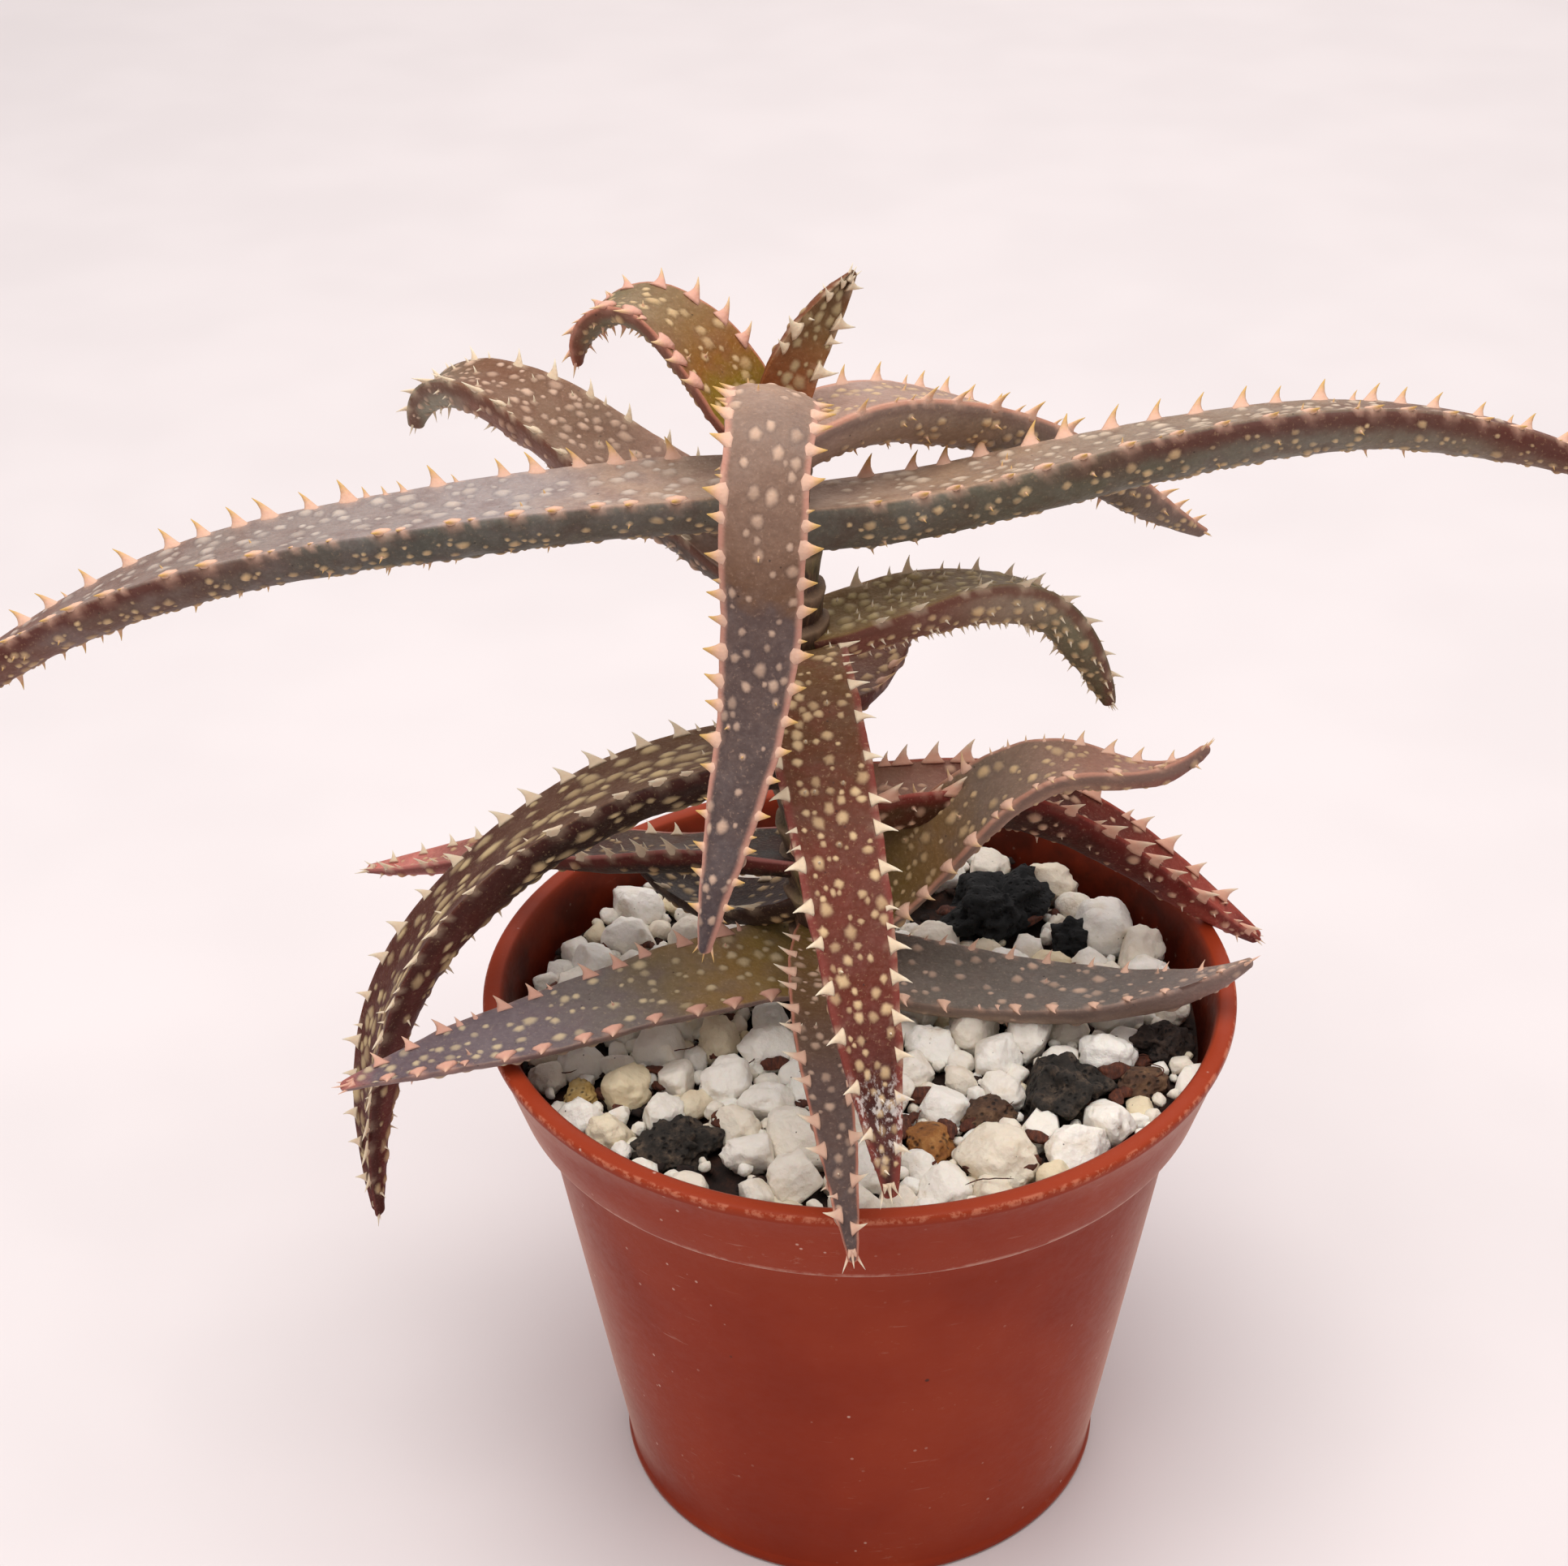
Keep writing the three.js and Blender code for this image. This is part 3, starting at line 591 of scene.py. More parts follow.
def popped(centre, radii, chance, levels, knobs, flats):
    """A popped grain: points go out to the farthest of a few balls, less some worn flats."""
    points, faces = BALLS[levels]
    seed, turn = random_seed(chance), random_turn(chance)
    balls = [(Vector((0, 0, 0)), chance.uniform(0.8, 0.9))]
    for _ in range(knobs):
        middle = random_side(chance) * chance.uniform(0.35, 0.5)
        balls.append((middle, chance.uniform(0.48, 0.6)))
    chips = [(random_side(chance), chance.uniform(0.55, 0.78)) for _ in range(flats)]
    out = []
    for p in points:
        reach = 0
        for middle, radius in balls:
            ahead = p.dot(middle)
            inside = ahead * ahead - middle.length_squared + radius * radius
            reach = max(reach, ahead + math.sqrt(max(0.0, inside)))
        q = p * reach * (1 + 0.2 * noise.noise(p * 1.6 + seed) + 0.13 * noise.noise(p * 4.2 + seed))
        for side, limit in chips:
            over = q.dot(side) - limit
            if over > 0:
                q = q - side * over * 0.92
        q = turn @ Vector((q.x * radii[0], q.y * radii[1], q.z * radii[2]))
        out.append((centre[0] + q.x, centre[1] + q.y, centre[2] + q.z))
    return out, faces


# %% [markdown]
# ### Potting mix
#
# Between the grains the mix shows: almost black, with crumbs of bark and coir. A disc of points
# raised by noise gives the ground, and a few hundred crumbs and chips lie on it. The deep body of
# mix below is left as its plain solid, because nothing but its top ever shows; it only gets the
# same finish.

# %% Mix finish, ground and crumbs
SOIL_TOP = 57
BED_RADIUS = 38.2
CRUMB_COUNT = 420
CHIP_COUNT = 110
CRUMB_SEED = 31
GROUND_RINGS = 44
GROUND_STEPS = 120


def mix_finish():
    mix = Finish("potting_mix", Roughness=0.9)
    patch = mix.noise(0.35, 5, 0.7)
    colour = mix.ramp(patch, [(0.3, "120c0a"), (0.48, "2a1a13"), (0.62, "46291c"), (0.8, "6b4029")])
    return mix.done(colour, 0.9, mix.noise(2.2, 6, 0.75), 0.35, 1.0)


def bark_finish():
    bark = Finish("bark_chip", Roughness=0.8)
    streak = bark.noise(0.9, 5, 0.7, bark.stretched(3, 1, 1))
    colour = bark.ramp(streak, [(0.3, "2b140d"), (0.55, "5a2c1a"), (0.75, "80492c")])
    return bark.done(colour, 0.8, streak, 0.2, 0.9)


def make_ground(finish):
    heap = Heap()
    rings, around = GROUND_RINGS, GROUND_STEPS
    points = [(0, 0, SOIL_TOP + 0.6)]
    for i in range(1, rings + 1):
        r = (BED_RADIUS + 0.35) * i / rings
        for j in range(around):
            a = j / around * 2 * math.pi
            x, y = r * math.cos(a), r * math.sin(a)
            broad = 0.9 * noise.noise(Vector((x * 0.3, y * 0.3, 3)))
            rise = 0.9 + broad + 0.5 * noise.noise(Vector((x, y, 8)))
            points.append((x, y, SOIL_TOP + rise))
    faces = [(0, 1 + j, 1 + (j + 1) % around) for j in range(around)]
    for i in range(rings - 1):
        for j in range(around):
            a, b = 1 + i * around + j, 1 + i * around + (j + 1) % around
            faces.append((a, a + around, b + around, b))
    heap.add(points, faces)
    heap.piece("mix_surface", finish, "potting_mix")


def make_crumbs(finish):
    chance = random.Random(CRUMB_SEED)
    heap = Heap()
    for _ in range(CRUMB_COUNT):
        r, a = BED_RADIUS * math.sqrt(chance.random()), chance.uniform(0, FULL_TURN)
        size = chance.uniform(0.35, 1.1)
        centre = (r * math.cos(a), r * math.sin(a), SOIL_TOP + 1.5 + chance.uniform(0, 0.9))
        heap.add(*lump(centre, (size, size * 0.8, size * 0.6), chance, 1, 0.6, 0.3))
    heap.piece("mix_crumbs", finish, "potting_mix")


soil = mix_finish()
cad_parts["potting_mix"].data.materials[0] = soil
make_ground(soil)
make_crumbs(soil)

# %% [markdown]
# ### Dropping the grains
#
# Each grain has a place and a size. Big grains are dropped first, then smaller ones, and a grain
# that would land on one already there is thrown away, so the small ones end up filling the gaps.
# The large grains that stand out on the real pot are listed and set before that, so the bed has
# the same landmarks.

# %% Perlite finish
def perlite_finish():
    perlite = Finish("perlite", Roughness=0.9, Subsurface_Weight=0.1, Subsurface_Scale=0.0015)
    shade = perlite.mark("shade")
    base = perlite.ramp(shade, [(0, "eadab8"), (0.12, "f3e8d6"), (0.5, "faf3e8"), (1, "fdf9f1")])
    # The lower part of each grain, near the mix, is mixed toward a darker tan: painted shade between the
    # grains.
    low = perlite.band(perlite.mark("height"), SOIL_TOP + 2.6, SOIL_TOP + 0.8, 0.0, 0.35)
    base = perlite.mix(low, base, "b7a283")
    stain = perlite.times(perlite.band(perlite.noise(0.3, 4), 0.52, 0.72), 0.3)
    base = perlite.mix(stain, base, "cbb48a")
    specks = perlite.band(perlite.cells(0.75), 0.085, 0.05)
    specks = perlite.times(specks, perlite.band(perlite.noise(0.35, 2), 0.5, 0.6))
    base = perlite.mix(specks, base, "3a2a20")
    dirt = perlite.band(perlite.noise(1.2, 6, 0.75), 0.64, 0.74)
    base = perlite.mix(perlite.times(dirt, 0.45), base, "8a7356")
    pores = perlite.times(perlite.cells(1.1), 0.7)
    grain = perlite.maths("ADD", perlite.noise(1.5, 6, 0.7), pores)
    return perlite.done(base, 0.9, grain, 0.25, 0.9)


# %% Where the stones lie
STONES = [
    ("lava_black_back", (16.5, 21, 60), (6.2, 4.8, 3.2)),
    ("lava_black_left", (-11, 22, 59.4), (3, 2.6, 2)),
    ("lava_black_small", (25.5, 15.2, 59.3), (3, 2.2, 1.8)),
    ("lava_grey_right", (22.2, -14.8, 60), (4.6, 4.2, 3)),
    ("lava_brown_right", (34.1, -5.4, 59.3), (3.2, 2.6, 1.9)),
    ("stone_brown_right", (31.3, -12.4, 59.2), (2.8, 2, 1.7)),
    ("stone_brown_front", (14.1, -18.3, 59.2), (2.7, 2.2, 1.7)),
    ("stone_ochre", (7.6, -23, 59.3), (2.9, 2.2, 1.8)),
    ("lava_dark_left", (-20, -23.8, 59.4), (3.6, 2.9, 2)),
    ("stone_yellow_left", (-30.7, -14.8, 59), (1.9, 1.6, 1.5)),
]
LANDMARK_GRAINS = [
    (29.3, 17.6, 4.0), (14.8, -26, 3.8), (23.3, -25, 3.3), (15.3, -8.6, 3.0), (7.9, -6.3, 2.7),
    (-14.6, -12.8, 3.1), (-31, -9.2, 2.6), (-27, 15, 2.8), (-6, -23.5, 3.4), (35.5, 1.8, 2.4),
    (1, -28, 3.0), (9, -31, 2.8), (-10, -16.4, 2.8), (36.6, -12.5, 2.2),
]
GRAIN_SPREADS = [(1.25, 1.5), (1.08, 1.3), (1.0, 1.25)]
GRAIN_TRIES = 4200
SMALL_GRAIN_TRIES = 2600
STEM_KEEP_OUT = 5.2
GRAIN_PLACE_SEED = 7
GRAIN_SHAPE_SEED = 11
BARE_PATCHES = [(9.5, 22.3, 3.4), (-14.6, -29.6, 2.3)]


def scatter_grains():
    """Places and radii of the perlite grains, big ones first."""
    chance = random.Random(GRAIN_PLACE_SEED)
    grains = [(x, y, SOIL_TOP + 1.2 + 0.55 * r, r) for x, y, r in LANDMARK_GRAINS]
    blocks = [(place[0], place[1], 0.9 * max(radii[:2])) for _, place, radii in STONES]
    blocks += [(-2.4, 2.5, STEM_KEEP_OUT)] + BARE_PATCHES

    def clear(x, y, r, share):
        if math.hypot(x, y) + 0.9 * r > BED_RADIUS:
            return False
        if any(math.hypot(x - bx, y - by) < br + 0.75 * r for bx, by, br in blocks):
            return False
        return all(math.hypot(x - gx, y - gy) > share * (r + gr) for gx, gy, _, gr in grains)

    for i in range(GRAIN_TRIES):
        r = 3.0 - 1.9 * (i / GRAIN_TRIES) ** 0.7 + chance.uniform(-0.25, 0.25)
        reach, a = BED_RADIUS * math.sqrt(chance.random()), chance.uniform(0, FULL_TURN)
        x, y = reach * math.cos(a), reach * math.sin(a)
        if clear(x, y, r, 0.9):
            grains.append((x, y, SOIL_TOP + 1.0 + 0.6 * r + chance.uniform(0, 0.6), r))
    for _ in range(SMALL_GRAIN_TRIES):
        r = chance.uniform(0.5, 1.25)
        reach, a = BED_RADIUS * math.sqrt(chance.random()), chance.uniform(0, FULL_TURN)
        x, y = reach * math.cos(a), reach * math.sin(a)
        if clear(x, y, r, 0.78):
            grains.append((x, y, SOIL_TOP + 1.6 + 0.5 * r + chance.uniform(0, 0.8), r))
    return grains


def make_perlite(finish):
    chance = random.Random(GRAIN_SHAPE_SEED)
    heap = Heap("shade", "height")
    grains = scatter_grains()
    for x, y, z, r in grains:
        levels = 3 if r > 2.3 else 2 if r > 0.9 else 1
        radii = [r * chance.uniform(*spread) for spread in GRAIN_SPREADS]
        top = min(z, SOIL_TOP + 6.4 - 0.8 * radii[2])
        knobs, flats = chance.choice((0, 1, 1, 2)), chance.choice((5, 6, 7, 8))
        points, faces = popped((x, y, top), radii, chance, levels, knobs, flats)
        heap.add(points, faces, shade=chance.random(), height=[p[2] for p in points])
    heap.piece("perlite_grains", finish, "perlite", ["perlite_bed"])
    print("grains:", len(grains))


make_perlite(perlite_finish())

# %% [markdown]
# ### Lava and gravel
#
# Lava is full of burst bubbles. Pushing a fine ball inward wherever a cell pattern has its centres
# gives real pits, which catch shadow better than a painted bump. Black, grey-brown and ochre stones
# share the shape and differ in colour and in how deep the pits go.

# %% Stones
def stone_finish(name, stops, rough=0.85, depth=0.5):
    stone = Finish(name, Roughness=rough)
    patch = stone.noise(0.5, 6, 0.72)
    colour = stone.ramp(patch, stops)
    # Small pits are bumped in and darkened toward their centres; that dark is painted shade in the pits.
    pits = stone.band(stone.cells(1.3), 0.05, 0.42)
    colour = stone.mix(stone.maths("SUBTRACT", 0.8, stone.times(pits, 0.8)), colour, "0b0a0a")
    height = stone.maths("ADD", pits, stone.times(stone.noise(3.5, 5, 0.7), 0.5))
    return stone.done(colour, rough, height, depth, 1.0)


STONE_SEED = 900
STONE_SWELL = 1.16
PITS_PER_MM = 0.75


def pitted(points, centre, pits_deep, per_mm, seed):
    """Pushes the points of a stone inward at the centres of a cell pattern."""
    out = []
    middle = Vector(centre)
    for p in points:
        q = Vector(p)
        nearest = noise.voronoi(q * per_mm + Vector((seed, seed, seed)))[0][0]
        push = pits_deep * max(0.0, 0.5 - nearest) * 2
        out.append(tuple(q - (q - middle).normalized() * push))
    return out


STONE_LOOKS = {
    "lava_black": stone_finish("lava_black", [(0.3, "060708"), (0.55, "121416"), (0.75, "26292c")]),
    "lava_grey": stone_finish(
        "lava_grey", [(0.3, "15130f"), (0.5, "302a24"), (0.62, "54463a"), (0.8, "86765c")]),
    "lava_brown": stone_finish("lava_brown", [(0.3, "1b1512"), (0.5, "3a2d27"), (0.7, "5f4c40")]),
    "stone_brown": stone_finish(
        "stone_brown", [(0.3, "33231a"), (0.5, "5d4230"), (0.75, "8a6a4c")], 0.85, 0.3),
    "stone_ochre": stone_finish(
        "stone_ochre", [(0.3, "6b3f1c"), (0.5, "96602c"), (0.75, "b98a4e")], 0.8, 0.25),
    "stone_yellow": stone_finish(
        "stone_yellow", [(0.3, "a48346"), (0.5, "c2a264"), (0.75, "d8c592")], 0.8, 0.2),
}
STONE_FINISH_OF = {
    "lava_black_back": ("lava_black", "lava_black", 0.9),
    "lava_black_left": ("lava_black", "lava_black", 0.6),
    "lava_black_small": ("lava_black", "lava_black", 0.5),
    "lava_grey_right": ("lava_grey", "lava_black", 0.6),
    "lava_brown_right": ("lava_brown", "stone_brown", 0.7),
    "stone_brown_right": ("stone_brown", "stone_brown", 0.3),
    "stone_brown_front": ("stone_brown", "stone_brown", 0.3),
    "stone_ochre": ("stone_ochre", "stone_ochre", 0.2),
    "lava_dark_left": ("lava_grey", "lava_black", 0.5),
    "stone_yellow_left": ("stone_yellow", "stone_ochre", 0.15),
}


def make_stones():
    for i, (name, place, radii) in enumerate(STONES):
        look, slot, deep = STONE_FINISH_OF[name]
        chance = random.Random(STONE_SEED + i)
        centre = (place[0], place[1], place[2] + 0.3)
        radii = [STONE_SWELL * radius for radius in radii]
        crag = 0.5 if deep > 0.4 else 0.3
        points, faces = lump(centre, radii, chance, 4, crag, 0.45 * crag, 1.6, 4.2, 3)
        heap = Heap()
        heap.add(pitted(points, centre, deep, PITS_PER_MM, i), faces)
        heap.piece(name + "_stone", STONE_LOOKS[look], slot, [name])


make_stones()

# %% [markdown]
# ### Bark chips and coir fibres
#
# A few chips of bark and thin curled fibres lie between the grains. A chip is a flat lump; a fibre
# is a thin tube swept along a short random curve.

# %% Chips and fibres
LITTER_SEED = 5
FIBRE_COUNT = 26
FIBRE_STEP = 0.65
FIBRE_RADIUS = 0.07


def tube(path, radius, sides):
    """Points and faces of a thin tube along a list of points, pointed at both ends."""
    path = [Vector(p) for p in path]
    points = []
    for i, p in enumerate(path):
        ahead = (path[min(i + 1, len(path) - 1)] - path[max(i - 1, 0)]).normalized()
        side = ahead.cross(Vector((0.3, 0.1, 1))).normalized()
        up = side.cross(ahead)
        thin = radius * (0.35 if i in (0, len(path) - 1) else 1)
        for j in range(sides):
            a = j / sides * 2 * math.pi
            points.append(tuple(p + thin * (math.cos(a) * side + math.sin(a) * up)))
    return points, ring_faces(len(path), sides)


def make_litter(finish):
    chance = random.Random(LITTER_SEED)
    chips = Heap()
    for _ in range(CHIP_COUNT):
        r, a = 36 * math.sqrt(chance.random()), chance.uniform(0, FULL_TURN)
        size = chance.uniform(0.8, 1.9)
        centre = (r * math.cos(a), r * math.sin(a), SOIL_TOP + 2.2 + chance.uniform(0, 1.6))
        chips.add(*lump(centre, (size, size * 0.6, size * 0.35), chance, 2, 0.5, 0.25, 1.2, 4, 1))
    chips.piece("bark_chips", finish, "potting_mix")
    fibres = Heap()
    for _ in range(FIBRE_COUNT):
        r, a = 35 * math.sqrt(chance.random()), chance.uniform(0, FULL_TURN)
        place = Vector((r * math.cos(a), r * math.sin(a), SOIL_TOP + chance.uniform(3.4, 4.6)))
        heading = chance.uniform(0, FULL_TURN)
        bend = chance.uniform(-0.5, 0.5)
        path = []
        for k in range(9):
            path.append(tuple(place))
            heading += bend
            ahead = Vector((math.cos(heading), math.sin(heading), chance.uniform(-0.35, 0.3)))
            place = place + ahead * FIBRE_STEP
        fibres.add(*tube(path, FIBRE_RADIUS, 5))
    fibres.piece("coir_fibres", finish, "potting_mix")


make_litter(bark_finish())

# %% [markdown]
# ## The stem
#
# The stem leans a little and is wrapped in the dry sheaths of its leaves. Each sheath flares upward
# and then steps in, which leaves rings, and a blunt growing point tops it. It is built like the
# pot, as rings stacked along a line, but each ring is wavy, and its centre follows the leaning
# axis.

# %% Stem
STEM_FOOT = Vector((-2, 2.5, 52))
STEM_HEAD = Vector((-9.5, 3, 134))
STEM_TOP_Z = 127
BUD_SHOULDER_Z = 130.5
BUD_TOP_Z = 133
STEM_RADIUS = 3.5
SHEATH_RADIUS = 4.3
STEM_STEPS = 40
SHEATHS = [61, 65.5, 70.5, 76, 80.5, 85, 89.5, 95.5, 100, 106, 110, 114, 118.5, 123]


def stem_point(z):
    return STEM_FOOT.lerp(STEM_HEAD, (z - STEM_FOOT.z) / (STEM_HEAD.z - STEM_FOOT.z))


def stem_finish():
    stem = Finish("stem_sheaths", Roughness=0.7)
    streak = stem.noise(0.9, 5, 0.7, stem.stretched(2.2, 2.2, 0.5))
    patch = stem.noise(0.12, 3)
    dry = stem.ramp(streak, [(0.3, "2c1a12"), (0.5, "4b3122"), (0.72, "7d5d42")])
    green = stem.ramp(streak, [(0.3, "3b3a1c"), (0.6, "6a6230"), (0.8, "8c8350")])
    colour = stem.mix(stem.band(patch, 0.48, 0.66), dry, green)
    edge = stem.mark("sheath_edge")
    colour = stem.mix(stem.times(edge, 0.6), colour, "a5876a")
    return stem.done(colour, 0.7, streak, 0.18, 0.8)


def make_stem():
    sides = STEM_STEPS
    rows = [(STEM_FOOT.z, STEM_RADIUS, 0.0)]
    for z in SHEATHS:
        rows += [(z - 3.4, STEM_RADIUS + 0.1, 0.0), (z - 1.6, STEM_RADIUS + 0.45, 0.0)]
        rows += [(z - 0.4, SHEATH_RADIUS, 0.5), (z, SHEATH_RADIUS - 0.05, 1.0)]
        rows += [(z + 0.25, STEM_RADIUS + 0.2, 0.4), (z + 0.5, STEM_RADIUS, 0.0)]
    rows += [(STEM_TOP_Z - 1, STEM_RADIUS + 0.3, 0.0), (STEM_TOP_Z, STEM_RADIUS + 0.6, 0.5)]
    rows += [(BUD_SHOULDER_Z, STEM_RADIUS, 0.0), (BUD_TOP_Z - 1, 2.7, 0.0), (BUD_TOP_Z - 0.3, 1.6, 0.0)]
    points, edges = [], []
    for z, radius, edge in rows:
        centre = stem_point(z)
        for j in range(sides):
            a = j / sides * 2 * math.pi
            out = Vector((math.cos(a), math.sin(a), 0))
            wave = 0.3 * noise.noise(Vector((math.cos(a) * 1.5, math.sin(a) * 1.5, z * 0.25)))
            sag = 0.5 * noise.noise(Vector((math.cos(a) * 2, math.sin(a) * 2, round(z / 4.6))))
            points.append(tuple(centre + out * (radius + wave) + Vector((0, 0, sag))))
            edges.append(edge)
    heap = Heap("sheath_edge")
    heap.add(points, ring_faces(len(rows), sides), sheath_edge=edges)
    heap.piece("sheathed_stem", stem_finish(), "stem", ["stem"])


make_stem()

# %% [markdown]
# ## The leaves
#
# A leaf is thick: flat or slightly troughed above, rounded below, widest near its base and blunt at
# its tip. Its line through space is described the way a grower would: the height where it leaves
# the stem, the compass heading at its base and tip, how steeply it rises or falls at even steps
# along it, and how far it rolls over onto one edge. Walking along those slopes in small steps gives
# the curve. The numbers are the same as the solid's, so each finer leaf lies exactly where its
# solid does.

# %% [markdown]
# Two kinds of leaf edge appear. Where a leaf is seen from its side, its teeth stand up from both
# edges. Where it hangs toward the viewer, they point outward. `stand` holds the share of sideways,
# of upward and of full height for the left and the right edge.

# %% The leaves, youngest first
LEAF_START = 1.5
WIDTH_SHARE = [(0, 0.86), (0.08, 1), (0.3, 1), (0.6, 0.88), (0.8, 0.63), (0.92, 0.38), (1, 0.16)]
THICK_SHARE = [(0, 1), (0.3, 1), (0.6, 0.87), (0.8, 0.7), (0.92, 0.47), (1, 0.24)]
UPRIGHT = (0.45, 0.9, 1.0)
LEANING = (0.75, 0.65, 0.95)
FLAT = (0.96, 0.25, 0.95)
LOW = (0.85, 0.4, 0.6)
DOMED = (0.96, 0.25, 0.6)

LEAVES = {
    "leaf_crown_left_curl": dict(
        height=133, length=30, heading=(147, 174), rise=(59, 46, 25, -39, -95),
        roll=(-6, -9, -1, 7, 11), width=9.8, thickness=3.7, channel=0.7,
    ),
    "leaf_crown_spike": dict(
        height=131.8, length=17.7, heading=(26, 43), rise=(88, 60, 46, 46), roll=(69, 94),
        width=5.8, thickness=3.2, channel=0.5,
    ),
    "leaf_right_behind": dict(
        height=131.6, length=62, heading=(33, 23), rise=(22, -14, -29, -41, -40),
        roll=(-2, -8, -14, -14, -8), width=9.4, thickness=5.8, channel=0.5,
    ),
    "leaf_front_hanging": dict(
        height=130.2, length=77, heading=(-81, -121), rise=(69, 9, -82, -55, -70), roll=(-9, -13),
        width=9, thickness=4.2, channel=-0.9,
    ),
    "leaf_long_left": dict(
        height=127, length=107, heading=(188, 180), rise=(2, -5, -12, -31, -33),
        roll=(0, 4, 5, 12, 14), width=11.4, thickness=6, channel=0.6,
    ),
    "leaf_long_right": dict(
        height=124.2, length=95, heading=(9, 0), rise=(0, 11, 7, -12, -34),
        roll=(-10, -12, -17, -19, -14), width=11.2, thickness=6, channel=0.6,
    ),
    "leaf_left_curl": dict(
        height=116, length=55, heading=(147, 150), rise=(38, 16, 22, -4, -84),
        roll=(-14, -6, -7, 0, 0), width=10.6, thickness=6.8, channel=0.6,
    ),
    "leaf_right_curl": dict(
        height=109.2, length=45, heading=(14, 12), rise=(12, 11, -12, -59, -78),
        roll=(6, 1, -17, -14, -18), width=8.4, thickness=5.5, channel=0.5,
    ),
    "leaf_front_red": dict(
        height=106.5, length=71, heading=(-84, -75), rise=(41, -12, -28, -47, -66), roll=(6, -10),
        width=10, thickness=4.4, channel=0.4,
    ),
    "leaf_back_rising": dict(
        height=100, length=24, heading=(56, 64), rise=(-10, -15, 10, 10, -2), roll=(0, 0), width=8,
        thickness=3.8, channel=0.5,
    ),
    "leaf_left_arch": dict(
        height=95.6, length=87, heading=(194, 201), rise=(6, -20, -46, -78, -97),
        roll=(5, 6, 8, -5, -3), width=10.2, thickness=5.9, channel=0.8,
    ),
    "leaf_right_channelled": dict(
        height=89, length=60, heading=(20, -4), rise=(-4, -7, -31, -43, -44),
        roll=(-2, -7, -3, 0, 1), width=9, thickness=6.5, channel=1.8,
    ),
    "leaf_left_pink_tip": dict(
        height=81, length=57, heading=(165, 159), rise=(-1, -12, -9, -23, -22),
        roll=(0, 17, 2, 3, 0), width=8.2, thickness=3.8, channel=0.6,
    ),
    "leaf_left_inner": dict(
        height=76, length=25, heading=(152, 150), rise=(-30, -26, -10, 10, 16), roll=(0, 0),
        width=8, thickness=3.8, channel=0.5,
    ),
    "leaf_right_olive": dict(
        height=71, length=50, heading=(-9, -2), rise=(52, 50, 49, 29, -9, 43),
        roll=(20, 44, 31, 12, -9, -34), width=9.8, thickness=4.6, channel=0.6,
    ),
    "leaf_front_low": dict(
        height=71.6, length=56, heading=(-94, -78), rise=(19, 13, 2, -23, -55), roll=(-10, 4),
        width=6.3, thickness=3.9, channel=0.4,
    ),
    "leaf_rim_left": dict(
        height=67, length=56, heading=(210, 198), rise=(16, 3, -4, -5, -14),
        roll=(-19, -10, -4, -2, 5), width=11.3, thickness=3.3, channel=0.4,
    ),
    "leaf_rim_right": dict(
        height=67.3, length=46.5, heading=(-14, -9), rise=(-10, -2, 4, 14, 31),
        roll=(14, 12, 4, -7, -22), width=9.7, thickness=4.8, channel=0.4,
    ),
}
print("leaves:", len(LEAVES), "from", min(f["length"] for f in LEAVES.values()), "mm long")

# %% [markdown]
# ### Colours of each leaf
#
# The youngest leaves are lime at the base, the long upper ones are dusty mauve above and slate
# below, and the old low ones go brown, wine red and grey. Each leaf has a ramp for its upper face
# and one for its underside, given as shares of its length, and a colour for the line under its
# edge, its teeth (`tooth` at the foot, `barb` at the point) and its spots. `top_spots` and
# `under_spots` count spots on a square centimetre, and `prickly` is the share of them that carry a
# point. `stretch` is how much longer than wide a spot is. `keel` is where along the leaf the row of
# small teeth below begins, and how many there are. `tip_teeth` counts those of the tip, and from
# the share `waxy` on, a worn pale film covers the leaf.

# %% Looks of the leaves
WINE = "7c3a32"
MAROON = "5a2a22"
DARK_MAROON = "401d17"
MAUVE = "7d665c"
SALMON = "bd7a66"
PEACH = "e2b69e"
PEACH_PINK = "dba692"
PALE_TOOTH = "e0c8ab"
IVORY = "ebdcc2"
YELLOW_TIP = "cfa662"
CREAM = "dcb98c"
CREAM_PINK = "d8b49c"
CREAM_GREEN = "c6b086"

